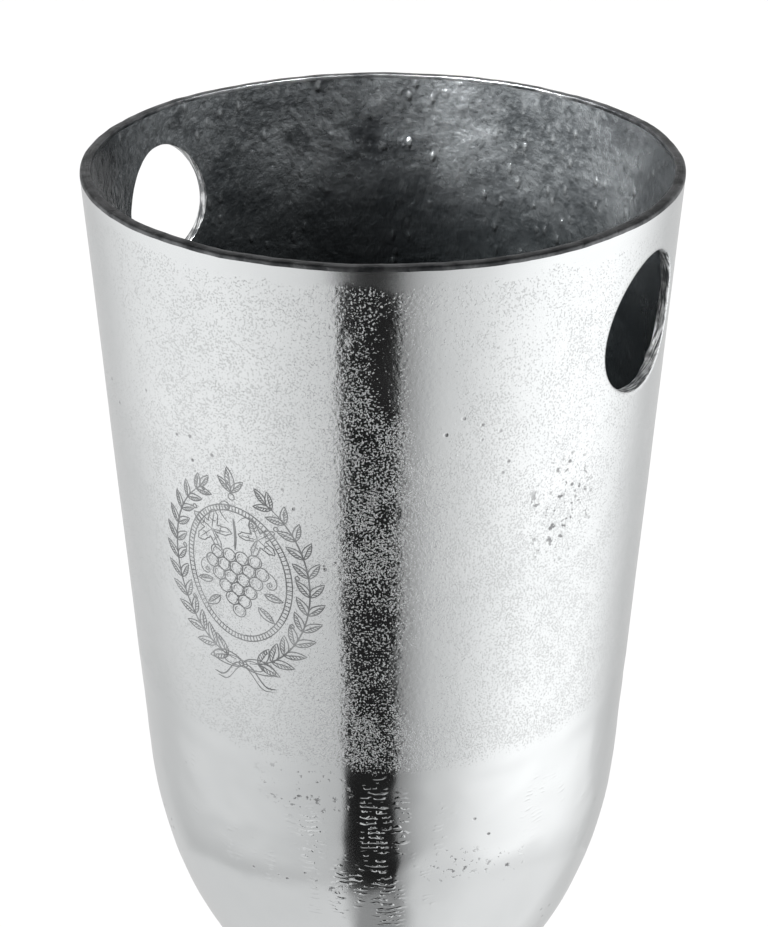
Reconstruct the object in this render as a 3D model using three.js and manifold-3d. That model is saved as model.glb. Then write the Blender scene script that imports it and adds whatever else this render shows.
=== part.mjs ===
// A floor-standing champagne bucket: a deep cast cup on a pedestal, drawn together by one tie rod.
// Millimetres, +Z up. The origin is on the floor under the middle of the base.
// The two hand holes open along X and -Y is the front.

import * as THREE from 'three';
import { mergeVertices } from 'three/addons/utils/BufferGeometryUtils.js';
import Module from 'manifold-3d';

const wasm = await Module();
wasm.setup();

// ---------- driving dimensions ----------

const SEAT_GAP = 0.1; // left between faces that rest on each other
const ROD_RADIUS = 4.9; // M10 tie rod
const ROD_BORE = 5.6; // clearance bore through every casting
const DOWEL_RADIUS = 2;
const DOWEL_BORE = 2.3;
const DOWEL_OFFSET = 18; // from the rod's axis

// bucket
const RIM_RADIUS = 120.4;
const WALL = 4.3;
const TAPER = 0.0385; // loss of radius per millimetre of depth
const SHOULDER_DEPTH = 279; // where the straight wall starts to round in
const BOWL_DEPTH = 161; // from the shoulder to where the outside would close
const FLOOR_THICKNESS = 7;
const BOSS_RADIUS = 27;
const BOSS_HEIGHT = 8; // below the bowl
const WELL_RADIUS = 26; // flat floor inside for the washers
const RIM_BEVEL = 0.7;

// Hand holes, egg shaped, wider at the bottom. They are opened up by hand, so the two differ: depth is
// below the rim, to the middle, and shift is along Y.
const RIGHT_HOLE = { depth: 45.2, halfWidth: 28.2, halfHeight: 27.7, egg: 0.08, shift: 5.2 };
const LEFT_HOLE = { depth: 42.2, halfWidth: 25.6, halfHeight: 25.9, egg: 0.12, shift: -3.3 };
const HOLE_BAND_DEPTH = 90; // the wall above this depth holds both
const HOLE_TOOL_LENGTH = 80; // of the prism that cuts a hole, well past both faces of the wall

// pedestal, from the floor up
const PAD_HEIGHT = 5;
const PAD_RADIUS = 12;
const COVER_THICKNESS = 1.4;
const BASE_RADIUS = 140;
const BASE_HEIGHT = 66;
const BASE_CLEARANCE = 3; // between the base's edge and the floor
const BASE_WALL = 5;
const PLINTH_HEIGHT = 11;
const DOME_RADIUS = 134;
const DOME_HEIGHT = 28;
const DOME_INSET = 70; // where the dome turns into the neck
const NECK_RADIUS = 33;
const BASE_BOSS_BOTTOM = 30;
const FOOT_COLLAR_HEIGHT = 12;
const FOOT_COLLAR_RADIUS = 37;
const LOWER_STEM_HEIGHT = 146;
const LOWER_STEM_RADIUS = 29;
const KNOP_HEIGHT = 42;
const KNOP_RADIUS = 34;
const UPPER_STEM_HEIGHT = 68;
const UPPER_STEM_RADIUS = 27;
const WAIST_RADIUS = 14.5;
const NECK_COLLAR_HEIGHT = 11;
const NECK_COLLAR_RADIUS = 35;
const GASKET_THICKNESS = 1.5;

// ballast and fasteners
const BALLAST_RADIUS = 100;
const BALLAST_THICKNESS = 16;
const BALLAST_POCKET_RADIUS = 24;
const BALLAST_WEB = 7;
const CLAMP_WASHER = { radius: 18, thickness: 2 };
const SPRING_WASHER = { radius: 9, thickness: 2.2, gap: 2 };
const ROD_NUT = { flats: 17, height: 8 };
const SEAL_WASHER = { radius: 17, thickness: 2 };
const BUCKET_WASHER = { radius: 16, thickness: 1.6 };
const DOME_NUT = { flats: 17, height: 8, dome: 7.6, bore: 11 };
const LUG_COUNT = 4;
const LUG_CIRCLE = 116;
const LUG_RADIUS = 7;
const LUG_TOP = 29;
const SCREW = { head: 4.2, headHeight: 1.5, headZ: 1, shank: 1.8, length: 14, bore: 2.2, through: 2.5 };
const PAD_COUNTERBORE = { radius: 5, depth: 2.5 };

const MAX_SEGMENTS = 44;
const TURNED_SEGMENTS = 24;
const SMALL_SEGMENTS = 16;
const BOWL_STEPS = 9;

// ---------- heights worked out from the stack ----------

const coverBottom = PAD_HEIGHT + SEAT_GAP;
const coverTop = coverBottom + COVER_THICKNESS;
const ledgeZ = coverTop + SEAT_GAP;
const footCollarZ = BASE_HEIGHT + SEAT_GAP;
const lowerStemZ = footCollarZ + FOOT_COLLAR_HEIGHT + SEAT_GAP;
const knopZ = lowerStemZ + LOWER_STEM_HEIGHT + SEAT_GAP;
const upperStemZ = knopZ + KNOP_HEIGHT + SEAT_GAP;
const neckCollarZ = upperStemZ + UPPER_STEM_HEIGHT + SEAT_GAP;
const gasketZ = neckCollarZ + NECK_COLLAR_HEIGHT + SEAT_GAP;
const bossZ = gasketZ + GASKET_THICKNESS + SEAT_GAP;
const shoulderZ = bossZ + BOSS_HEIGHT + bowlDrop(BOSS_RADIUS, 0);
const rimZ = shoulderZ + SHOULDER_DEPTH;
const wellZ = shoulderZ - bowlDrop(WELL_RADIUS, FLOOR_THICKNESS);
const ballastTop = BASE_BOSS_BOTTOM - SEAT_GAP;
const clampWasherTop = ballastTop - BALLAST_WEB - SEAT_GAP;
const springWasherTop = clampWasherTop - CLAMP_WASHER.thickness - SEAT_GAP;
const rodNutTop = springWasherTop - SPRING_WASHER.thickness - SEAT_GAP;
const rodBottom = rodNutTop - ROD_NUT.height - 1.5;
const sealWasherZ = wellZ + SEAT_GAP;
const bucketWasherZ = sealWasherZ + SEAL_WASHER.thickness + SEAT_GAP;
const domeNutZ = bucketWasherZ + BUCKET_WASHER.thickness + SEAT_GAP;
const rodTop = domeNutZ + DOME_NUT.bore - 1;

// The bucket's radius on the straight wall, carried on below the shoulder as the bowl's outer limit.
function wallRadius(depth, inset) {
  return RIM_RADIUS - inset - TAPER * depth;
}

// How far below the shoulder the elliptical bowl has narrowed to the radius. The inset is the wall's
// thickness for the inside surface and 0 for the outside.
function bowlDrop(radius, inset) {
  const height = BOWL_DEPTH - inset;
  let drop = height;
  for (let pass = 0; pass < 12; pass += 1) {
    const limit = wallRadius(SHOULDER_DEPTH + drop, inset && WALL);
    drop = height * Math.sqrt(1 - (radius / limit) ** 2);
  }
  return drop;
}

// Points [r, z] down one side of the bowl, from the shoulder to a closing radius.
function bowlPoints(endRadius, inset) {
  const height = BOWL_DEPTH - inset;
  const endAngle = Math.asin(bowlDrop(endRadius, inset) / height);
  const points = [];
  for (let step = 0; step <= BOWL_STEPS; step += 1) {
    const angle = (endAngle * step) / BOWL_STEPS;
    const drop = height * Math.sin(angle);
    const limit = wallRadius(SHOULDER_DEPTH + drop, inset && WALL);
    points.push([limit * Math.cos(angle), shoulderZ - drop]);
  }
  return points;
}

// ---------- shapes ----------

// Turns a profile of [r, z] points round the Z axis. The profile runs anticlockwise in (r, z).
function turn(profile, segments) {
  const points = profile.map(([r, z]) => new THREE.Vector2(r, z));
  if (profile[0][0] > 0) points.push(points[0].clone());
  return new THREE.LatheGeometry(points, segments).rotateX(Math.PI / 2);
}

function ring(inner, outer, bottom, top, segments) {
  return turn([[inner, bottom], [outer, bottom], [outer, top], [inner, top]], segments);
}

// A disc or ring whose outer corners are broken by a small bevel.
function bevelledRing(inner, outer, bottom, top, bevel, segments) {
  return turn([
    [inner, bottom], [outer - bevel, bottom], [outer, bottom + bevel],
    [outer, top - bevel], [outer - bevel, top], [inner, top],
  ], segments);
}

function rod(radius, bottom, top, segments) {
  const geometry = new THREE.CylinderGeometry(radius, radius, top - bottom, segments);
  return geometry.rotateX(Math.PI / 2).translate(0, 0, (bottom + top) / 2);
}

function hexagon(flats, bottom, top) {
  return rod(flats / Math.sqrt(3), bottom, top, 6);
}

// Points on an ellipse about (r, z) from one angle to another, in degrees.
function ellipse(r, z, halfWidth, halfHeight, from, to, steps) {
  const points = [];
  for (let step = 0; step <= steps; step += 1) {
    const angle = THREE.MathUtils.degToRad(from + ((to - from) * step) / steps);
    points.push([r + halfWidth * Math.cos(angle), z + halfHeight * Math.sin(angle)]);
  }
  return points;
}

// Points on one cubic Bezier curve.
function curve(start, startHandle, endHandle, end, steps) {
  const points = [start, startHandle, endHandle, end].map(([r, z]) => new THREE.Vector2(r, z));
  return new THREE.CubicBezierCurve(...points).getPoints(steps).map((p) => [p.x, p.y]);
}

function toSolid(geometry) {
  const bare = geometry.index ? geometry.toNonIndexed() : geometry.clone();
  bare.deleteAttribute('normal');
  bare.deleteAttribute('uv');
  const merged = mergeVertices(bare, 1e-4);
  return new wasm.Manifold(new wasm.Mesh({
    numProp: 3,
    vertProperties: new Float32Array(merged.attributes.position.array),
    triVerts: new Uint32Array(merged.index.array),
  }));
}

function toGeometry(solid) {
  const mesh = solid.getMesh();
  const geometry = new THREE.BufferGeometry();
  geometry.setAttribute('position', new THREE.BufferAttribute(mesh.vertProperties, 3));
  geometry.setIndex(new THREE.BufferAttribute(mesh.triVerts, 1));
  geometry.computeVertexNormals();
  return geometry;
}

function cut(geometry, ...tools) {
  return toGeometry(tools.reduce((solid, tool) => solid.subtract(toSolid(tool)), toSolid(geometry)));
}

function join(geometry, ...others) {
  return toGeometry(others.reduce((solid, other) => solid.add(toSolid(other)), toSolid(geometry)));
}

// The centres of the feet, as [x, y], evenly round the base.
function lugCentres() {
  return Array.from({ length: LUG_COUNT }, (unused, index) => {
    const angle = (2 * Math.PI * (index + 0.5)) / LUG_COUNT;
    return [LUG_CIRCLE * Math.cos(angle), LUG_CIRCLE * Math.sin(angle)];
  });
}

// ---------- bucket ----------

// An egg-shaped prism along X that cuts one hand hole, in the wall at a negative or positive x.
function handHoleTool({ depth, halfWidth, halfHeight, egg, shift }, wallX) {
  const outline = new THREE.Shape();
  const corners = 28;
  for (let corner = 0; corner < corners; corner += 1) {
    const angle = (2 * Math.PI * corner) / corners;
    const side = halfWidth * Math.cos(angle) * (1 - egg * Math.sin(angle));
    const up = halfHeight * Math.sin(angle);
    if (corner === 0) outline.moveTo(side, up);
    else outline.lineTo(side, up);
  }
  outline.closePath();
  const prism = new THREE.ExtrudeGeometry(outline, { depth: HOLE_TOOL_LENGTH, bevelEnabled: false });
  // the outline's x goes to Y, its y to Z and the depth to X
  prism.translate(0, 0, -HOLE_TOOL_LENGTH / 2).rotateX(Math.PI / 2).rotateZ(Math.PI / 2);
  return prism.translate(wallX, shift, rimZ - depth);
}

function bucket() {
  const outside = bowlPoints(BOSS_RADIUS, 0).reverse();
  const inside = bowlPoints(WELL_RADIUS, FLOOR_THICKNESS);
  const profile = [
    [ROD_BORE, bossZ], [BOSS_RADIUS - 1, bossZ], [BOSS_RADIUS, bossZ + 1],
    ...outside,
    [wallRadius(HOLE_BAND_DEPTH, 0), rimZ - HOLE_BAND_DEPTH],
    [RIM_RADIUS, rimZ - RIM_BEVEL], [RIM_RADIUS - RIM_BEVEL, rimZ],
    [RIM_RADIUS - WALL, rimZ],
    [wallRadius(HOLE_BAND_DEPTH, WALL), rimZ - HOLE_BAND_DEPTH],
    ...inside,
    [ROD_BORE, wellZ],
  ];
  const dowelHole = rod(DOWEL_BORE, bossZ - 1, bossZ + 7, 12).translate(0, DOWEL_OFFSET, 0);
  const rightHole = handHoleTool(RIGHT_HOLE, RIM_RADIUS);
  const leftHole = handHoleTool(LEFT_HOLE, -RIM_RADIUS);
  return cut(turn(profile, MAX_SEGMENTS), rightHole, leftHole, dowelHole);
}

function domeNut() {
  const body = hexagon(DOME_NUT.flats, domeNutZ, domeNutZ + DOME_NUT.height);
  const domeRadius = DOME_NUT.flats / 2 - 0.4;
  const shoulder = domeNutZ + DOME_NUT.height - 1;
  const dome = turn([
    [0, shoulder],
    ...ellipse(0, shoulder, domeRadius, DOME_NUT.dome + 1, 0, 75, 5),
    [0, shoulder + DOME_NUT.dome + 1],
  ], SMALL_SEGMENTS);
  const bore = rod(ROD_RADIUS + 0.35, domeNutZ - 1, domeNutZ + DOME_NUT.bore, SMALL_SEGMENTS);
  return cut(join(body, dome), bore);
}

// ---------- pedestal ----------

// A ring with a half-round bead between two small flats.
function collar(radius, bottom, height) {
  const flat = radius - 3;
  const middle = bottom + height / 2;
  const bead = ellipse(flat, middle, radius - flat, height / 2 - 1.5, -90, 90, 5);
  const profile = [[ROD_BORE, bottom], [flat, bottom], ...bead, [flat, bottom + height]];
  return turn([...profile, [ROD_BORE, bottom + height]], TURNED_SEGMENTS);
}

function neckCollar() {
  const hole = rod(DOWEL_BORE, gasketZ - 7, gasketZ + 1, 12).translate(0, DOWEL_OFFSET, 0);
  return cut(collar(NECK_COLLAR_RADIUS, neckCollarZ, NECK_COLLAR_HEIGHT), hole);
}

function upperStem() {
  const top = upperStemZ + UPPER_STEM_HEIGHT;
  const flare = curve(
    [WAIST_RADIUS, upperStemZ + 3],
    [WAIST_RADIUS - 1, upperStemZ + UPPER_STEM_HEIGHT * 0.5],
    [UPPER_STEM_RADIUS - 6, top - UPPER_STEM_HEIGHT * 0.3],
    [UPPER_STEM_RADIUS, top - 3],
    7,
  );
  return turn([
    [ROD_BORE, upperStemZ], [WAIST_RADIUS + 2, upperStemZ], ...flare,
    [UPPER_STEM_RADIUS, top], [ROD_BORE, top],
  ], TURNED_SEGMENTS);
}

function knop() {
  const middle = knopZ + KNOP_HEIGHT / 2;
  const ball = ellipse(0, middle, KNOP_RADIUS, KNOP_HEIGHT / 2 - 2.5, -56, 56, 8);
  return turn([
    [ROD_BORE, knopZ], [WAIST_RADIUS + 4, knopZ], ...ball,
    [WAIST_RADIUS + 4, knopZ + KNOP_HEIGHT], [ROD_BORE, knopZ + KNOP_HEIGHT],
  ], TURNED_SEGMENTS);
}

function lowerStem() {
  const top = lowerStemZ + LOWER_STEM_HEIGHT;
  const flare = curve(
    [LOWER_STEM_RADIUS, lowerStemZ + 4],
    [LOWER_STEM_RADIUS - 10, lowerStemZ + LOWER_STEM_HEIGHT * 0.22],
    [WAIST_RADIUS - 1, lowerStemZ + LOWER_STEM_HEIGHT * 0.5],
    [WAIST_RADIUS, top - 3],
    8,
  );
  return turn([
    [ROD_BORE, lowerStemZ], [LOWER_STEM_RADIUS, lowerStemZ], ...flare,
    [WAIST_RADIUS + 2, top], [ROD_BORE, top],
  ], TURNED_SEGMENTS);
}

function footCollar() {
  const hole = rod(DOWEL_BORE, footCollarZ - 1, footCollarZ + 7, 12).translate(0, DOWEL_OFFSET, 0);
  return cut(collar(FOOT_COLLAR_RADIUS, footCollarZ, FOOT_COLLAR_HEIGHT), hole);
}

function base() {
  const plinthTop = BASE_CLEARANCE + PLINTH_HEIGHT;
  const neckHeight = BASE_HEIGHT - plinthTop - DOME_HEIGHT;
  const domeWidth = DOME_RADIUS - DOME_INSET;
  const neckWidth = DOME_INSET - NECK_RADIUS;
  const cavityRadius = DOME_RADIUS - BASE_WALL;
  const roofZ = plinthTop + DOME_HEIGHT - BASE_WALL;
  const shell = turn([
    [DOME_RADIUS, BASE_CLEARANCE],
    ...ellipse(BASE_RADIUS - 3, BASE_CLEARANCE + 3, 3, 3, -90, 0, 2),
    ...ellipse(BASE_RADIUS - 3, plinthTop - 3, 3, 3, 0, 90, 2),
    ...ellipse(DOME_INSET, plinthTop, domeWidth, DOME_HEIGHT, 0, 90, 7),
    ...ellipse(DOME_INSET, BASE_HEIGHT, neckWidth, neckHeight, -90, -180, 5).slice(1),
    [ROD_BORE, BASE_HEIGHT],
    [ROD_BORE, BASE_BOSS_BOTTOM], [NECK_RADIUS, BASE_BOSS_BOTTOM], [NECK_RADIUS, roofZ],
    ...ellipse(DOME_INSET, plinthTop, domeWidth - BASE_WALL, DOME_HEIGHT - BASE_WALL, 90, 0, 4),
    [cavityRadius, ledgeZ], [DOME_RADIUS, ledgeZ],
  ], MAX_SEGMENTS);
  const lugs = lugCentres().map(([x, y]) =>
    rod(LUG_RADIUS, ledgeZ, LUG_TOP, SMALL_SEGMENTS).translate(x, y, 0));
  const screwHoles = lugCentres().map(([x, y]) =>
    rod(SCREW.bore, ledgeZ - 1, ledgeZ + SCREW.length, 12).translate(x, y, 0));
  const dowelHole = rod(DOWEL_BORE, BASE_HEIGHT - 7, BASE_HEIGHT + 1, 12).translate(0, DOWEL_OFFSET, 0);
  return cut(join(shell, ...lugs), dowelHole, ...screwHoles);
}

// ---------- ballast, cover and feet ----------

function ballastPlate() {
  const bottom = ballastTop - BALLAST_THICKNESS;
  const pocketRoof = ballastTop - BALLAST_WEB;
  return turn([
    [BALLAST_POCKET_RADIUS, bottom], [BALLAST_RADIUS - 2, bottom], [BALLAST_RADIUS, bottom + 2],
    [BALLAST_RADIUS, ballastTop - 2], [BALLAST_RADIUS - 2, ballastTop],
    [ROD_BORE, ballastTop], [ROD_BORE, pocketRoof], [BALLAST_POCKET_RADIUS, pocketRoof],
  ], MAX_SEGMENTS);
}

function springWasher() {
  const bottom = springWasherTop - SPRING_WASHER.thickness;
  const body = ring(ROD_BORE, SPRING_WASHER.radius, bottom, springWasherTop, SMALL_SEGMENTS);
  const split = new THREE.BoxGeometry(SPRING_WASHER.radius, SPRING_WASHER.gap, 10);
  return cut(body, split.translate(SPRING_WASHER.radius, 0, springWasherTop));
}

function hexNut({ flats, height }, top) {
  const bore = rod(ROD_RADIUS + 0.35, top - height - 1, top + 1, SMALL_SEGMENTS);
  return cut(hexagon(flats, top - height, top), bore);
}

function coverPlate() {
  const disc = rod(DOME_RADIUS - 0.6, coverBottom, coverTop, MAX_SEGMENTS);
  const holes = lugCentres().map(([x, y]) =>
    rod(SCREW.through, coverBottom - 1, coverTop + 1, 12).translate(x, y, 0));
  return cut(disc, ...holes);
}

function footPad() {
  const { radius, depth } = PAD_COUNTERBORE;
  return turn([
    [radius, 0], [PAD_RADIUS - 1, 0], [PAD_RADIUS, 1], [PAD_RADIUS, PAD_HEIGHT],
    [SCREW.through, PAD_HEIGHT], [SCREW.through, depth], [radius, depth],
  ], SMALL_SEGMENTS);
}

function footScrew() {
  const seat = SCREW.headZ + SCREW.headHeight - SEAT_GAP;
  return turn([
    [0, SCREW.headZ], [SCREW.head - 0.6, SCREW.headZ], [SCREW.head, SCREW.headZ + 0.6],
    [SCREW.head, seat], [SCREW.shank, seat],
    [SCREW.shank, seat + SCREW.length - 1.5], [0, seat + SCREW.length],
  ], SMALL_SEGMENTS);
}

// ---------- materials ----------

function material(color, roughness, metalness) {
  return new THREE.MeshStandardMaterial({ color, roughness, metalness });
}

const nickel = () => material(0xd6d8d9, 0.22, 1);
const steel = () => material(0xa9abad, 0.35, 1);
const castIron = () => material(0x3a3a3b, 0.75, 0.6);
const rubber = () => material(0x1b1b1c, 0.85, 0);

// ---------- assembly ----------

const stand = new THREE.Group();

function add(name, geometry, finish, x = 0, y = 0) {
  const mesh = new THREE.Mesh(geometry, finish);
  mesh.name = name;
  mesh.position.set(x, y, 0);
  stand.add(mesh);
}

add('bucket', bucket(), nickel());
add('neck_collar', neckCollar(), nickel());
add('upper_stem', upperStem(), nickel());
add('knop', knop(), nickel());
add('lower_stem', lowerStem(), nickel());
add('foot_collar', footCollar(), nickel());
add('base', base(), nickel());

const gasketTop = gasketZ + GASKET_THICKNESS;
const gasket = ring(ROD_BORE, BOSS_RADIUS - 0.5, gasketZ, gasketTop, TURNED_SEGMENTS);
const gasketHole = rod(DOWEL_BORE, gasketZ - 1, gasketTop + 1, 12).translate(0, DOWEL_OFFSET, 0);
add('bucket_gasket', cut(gasket, gasketHole), rubber());
add('bucket_dowel', rod(DOWEL_RADIUS, gasketZ - 6, bossZ + 6, 12), steel(), 0, DOWEL_OFFSET);
add('foot_dowel', rod(DOWEL_RADIUS, BASE_HEIGHT - 6, footCollarZ + 6, 12), steel(), 0, DOWEL_OFFSET);

const sealTop = sealWasherZ + SEAL_WASHER.thickness;
const bucketWasherTop = bucketWasherZ + BUCKET_WASHER.thickness;
const clampWasherZ = clampWasherTop - CLAMP_WASHER.thickness;
add('tie_rod', rod(ROD_RADIUS, rodBottom, rodTop, SMALL_SEGMENTS), steel());
add('seal_washer', ring(ROD_BORE, SEAL_WASHER.radius, sealWasherZ, sealTop, TURNED_SEGMENTS), rubber());
add(
  'bucket_washer',
  bevelledRing(ROD_BORE, BUCKET_WASHER.radius, bucketWasherZ, bucketWasherTop, 0.3, TURNED_SEGMENTS),
  steel(),
);
add('dome_nut', domeNut(), steel());
add('ballast_plate', ballastPlate(), castIron());
add(
  'clamp_washer',
  bevelledRing(ROD_BORE, CLAMP_WASHER.radius, clampWasherZ, clampWasherTop, 0.3, TURNED_SEGMENTS),
  steel(),
);
add('spring_washer', springWasher(), steel());
add('rod_nut', hexNut(ROD_NUT, rodNutTop), steel());
add('cover_plate', coverPlate(), steel());

lugCentres().forEach(([x, y], index) => {
  add(`foot_pad_${index + 1}`, footPad(), rubber(), x, y);
  add(`foot_screw_${index + 1}`, footScrew(), steel(), x, y);
});

export default stand;
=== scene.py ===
"""A floor-standing champagne bucket: a nickel-plated cast cup on a turned stem and a domed foot.

Metres, +Z up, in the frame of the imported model. The hand holes open along X and -Y is the front.
"""

import math
import random
from collections import namedtuple

import bmesh
import bpy
import numpy as np
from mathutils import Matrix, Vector, noise


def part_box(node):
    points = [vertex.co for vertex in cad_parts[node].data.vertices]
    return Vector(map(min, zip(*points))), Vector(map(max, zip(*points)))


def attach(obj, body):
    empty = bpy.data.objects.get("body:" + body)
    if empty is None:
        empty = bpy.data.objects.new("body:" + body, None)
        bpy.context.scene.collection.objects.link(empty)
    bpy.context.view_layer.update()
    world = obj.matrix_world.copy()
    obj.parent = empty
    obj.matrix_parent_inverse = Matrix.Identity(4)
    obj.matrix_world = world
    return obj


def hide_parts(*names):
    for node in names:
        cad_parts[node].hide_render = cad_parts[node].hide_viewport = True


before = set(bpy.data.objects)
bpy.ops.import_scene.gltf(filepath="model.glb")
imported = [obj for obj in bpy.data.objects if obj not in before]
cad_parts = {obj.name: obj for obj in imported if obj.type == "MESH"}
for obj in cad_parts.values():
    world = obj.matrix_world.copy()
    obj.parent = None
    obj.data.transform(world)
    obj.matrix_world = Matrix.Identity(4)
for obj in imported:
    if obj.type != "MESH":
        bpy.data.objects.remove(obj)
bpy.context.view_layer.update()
MM = 0.001

# ---------- driving dimensions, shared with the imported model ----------

RIM_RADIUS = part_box("bucket")[1].x
RIM_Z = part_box("bucket")[1].z
BOSS_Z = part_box("bucket")[0].z
WALL = 4.3 * MM
TAPER = 0.0385
SHOULDER_DEPTH = 279 * MM
BOWL_DEPTH = 161 * MM
FLOOR_THICKNESS = 7 * MM
BOSS_RADIUS = 27 * MM
WELL_RADIUS = 26 * MM
ROD_BORE = 5.6 * MM
SHOULDER_Z = RIM_Z - SHOULDER_DEPTH

# The hand holes are eggs, wider at the bottom. facing is the side of the X axis, depth is below the
# rim, to the middle, and shift is along Y.
Hole = namedtuple("Hole", "facing depth half_width half_height egg shift")
HOLES = (
    Hole(1, 45.2 * MM, 28.2 * MM, 27.7 * MM, 0.08, 5.2 * MM),
    Hole(-1, 42.2 * MM, 25.6 * MM, 25.9 * MM, 0.12, -3.3 * MM),
)

BASE_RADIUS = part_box("base")[1].x
BASE_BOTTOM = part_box("base")[0].z
BASE_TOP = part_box("base")[1].z
PLINTH_HEIGHT = 11 * MM
DOME_RADIUS = 134 * MM
DOME_HEIGHT = 28 * MM
DOME_INSET = 70 * MM
NECK_RADIUS = 33 * MM
BASE_WALL = 5 * MM
BASE_BOSS_BOTTOM = 30 * MM
WAIST_RADIUS = 14.5 * MM
LUG_RADIUS = 7 * MM
LUG_TOP = 29 * MM


# ---------- camera ----------

CAMERA_AZIMUTH = math.radians(34)  # from the front, towards +X
CAMERA_ELEVATION = math.radians(18.38)  # above the rim's plane
CAMERA_PITCH = math.radians(28.26)  # below the horizon
CAMERA_DISTANCE = 0.72  # from the middle of the rim
CAMERA_LENS = 68.7
CAMERA_SHIFT = 0.0013


def outwards(azimuth, distance, z):
    """The point at a distance from the object's axis, in the direction of an azimuth from the front."""
    return Vector((math.sin(azimuth) * distance, -math.cos(azimuth) * distance, z))


def make_camera():
    data = bpy.data.cameras.new("camera")
    data.lens = CAMERA_LENS
    data.sensor_width = 36
    data.shift_x = CAMERA_SHIFT
    data.clip_start = 0.01
    camera = bpy.data.objects.new("camera", data)
    reach = CAMERA_DISTANCE * math.cos(CAMERA_ELEVATION)
    height = RIM_Z + CAMERA_DISTANCE * math.sin(CAMERA_ELEVATION)
    camera.location = outwards(CAMERA_AZIMUTH, reach, height)
    camera.rotation_euler = (math.pi / 2 - CAMERA_PITCH, 0, CAMERA_AZIMUTH)
    bpy.context.scene.collection.objects.link(camera)
    bpy.context.scene.camera = camera


make_camera()


# ---------- node graphs ----------


class Graph:
    """A material's node tree, with short calls for the nodes that this script uses."""

    def __init__(self, name, shader="ShaderNodeBsdfPrincipled"):
        self.material = bpy.data.materials.new(name)
        self.material.use_nodes = True
        self.tree = self.material.node_tree
        self.tree.nodes.clear()
        self.shader = self.tree.nodes.new(shader)
        output = self.tree.nodes.new("ShaderNodeOutputMaterial")
        self.tree.links.new(self.shader.outputs[0], output.inputs["Surface"])
        self.coordinates = self.tree.nodes.new("ShaderNodeTexCoord").outputs["Object"]

    def put(self, socket, value):
        if isinstance(value, bpy.types.NodeSocket):
            self.tree.links.new(value, socket)
        elif value is not None:
            socket.default_value = value

    def node(self, kind, *values, **named):
        """A new node, with values or links for its first inputs and for inputs by name."""
        node = self.tree.nodes.new("ShaderNode" + kind)
        for socket, value in zip(node.inputs, values):
            self.put(socket, value)
        for name, value in named.items():
            self.put(node.inputs[name], value)
        return node

    def set(self, **values):
        """Sets the shader's own sockets, with spaces in their names as underscores."""
        for name, value in values.items():
            self.put(self.shader.inputs[name.replace("_", " ")], value)

    def finished(self, colour, metallic, roughness, normal):
        """The material, with its shader's main sockets set."""
        self.set(Base_Color=colour, Metallic=metallic, Roughness=roughness, Normal=normal)
        return self.material

    def maths(self, operation, *values):
        node = self.node("Math", *values)
        node.operation = operation
        return node.outputs[0]

    def add(self, a, b):
        return self.maths("ADD", a, b)

    def times(self, a, b):
        return self.maths("MULTIPLY", a, b)

    def most(self, a, b):
        return self.maths("MAXIMUM", a, b)

    def separate(self):
        return self.node("SeparateXYZ", self.coordinates).outputs

    def combine(self, x, y, z):
        return self.node("CombineXYZ", x, y, z).outputs[0]

    def stretched(self, x, y, z):
        """The coordinates scaled by a factor along each axis."""
        return self.node("Mapping", Vector=self.coordinates, Scale=(x, y, z)).outputs[0]

    def polar(self):
        """(radius, azimuth from the front towards +X, z) of a point."""
        x, y, z = self.separate()
        radius = self.maths("SQRT", self.add(self.times(x, x), self.times(y, y)))
        azimuth = self.maths("ARCTAN2", x, self.times(y, -1.0))
        return radius, azimuth, z

    def noise(self, scale, detail=2.0, roughness=0.5, vector=None, distortion=0.0):
        return self.node(
            "TexNoise", Vector=vector or self.coordinates, Scale=scale, Detail=detail,
            Roughness=roughness, Distortion=distortion,
        ).outputs["Fac"]

    def marks(self, vector, detail=3.0, roughness=0.6):
        """Noise on stretched or rolled-out coordinates, which carry its scale."""
        return self.noise(1.0, detail, roughness, vector)

    def cells(self, scale, vector=None):
        node = self.node("TexVoronoi", Vector=vector or self.coordinates, Scale=scale)
        return node.outputs["Distance"]

    def step(self, value, low, high, start=0.0, end=1.0):
        """Smooth change from start to end as value goes from low to high. Each may be a socket."""
        node = self.node("MapRange", value, low, high, start, end)
        node.interpolation_type = "SMOOTHSTEP"
        return node.outputs[0]

    def blend(self, factor, a, b):
        """Mixes two colours, each an (r, g, b) tuple or a socket."""
        node = self.node("Mix", Factor=factor)
        node.data_type = "RGBA"
        for socket, value in ((node.inputs[6], a), (node.inputs[7], b)):
            self.put(socket, (*value, 1.0) if isinstance(value, tuple) else value)
        return node.outputs[2]

    def bumps(self, *layers):
        """Bumps on top of each other, each a (height, distance in millimetres)."""
        normal = None
        for height, distance in layers:
            node = self.node("Bump", Strength=1.0, Distance=distance * MM, Height=height, Normal=normal)
            normal = node.outputs[0]
        return normal

    def near(self, azimuth, depth, spot, softness=0.5):
        """1 inside a spot on the cup's wall, given as (azimuth in degrees, depth, half width, half
        height), and 0 outside it."""
        middle = spot[0]
        level, half_width, half_height = (size * MM for size in spot[1:])
        across = self.times(self.add(azimuth, -math.radians(middle)), RIM_RADIUS * 0.95 / half_width)
        along = self.times(self.add(depth, -level), 1 / half_height)
        far = self.maths("SQRT", self.add(self.times(across, across), self.times(along, along)))
        return self.step(far, 1 - softness, 1 + softness, 1.0, 0.0)


# ---------- studio ----------

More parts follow.
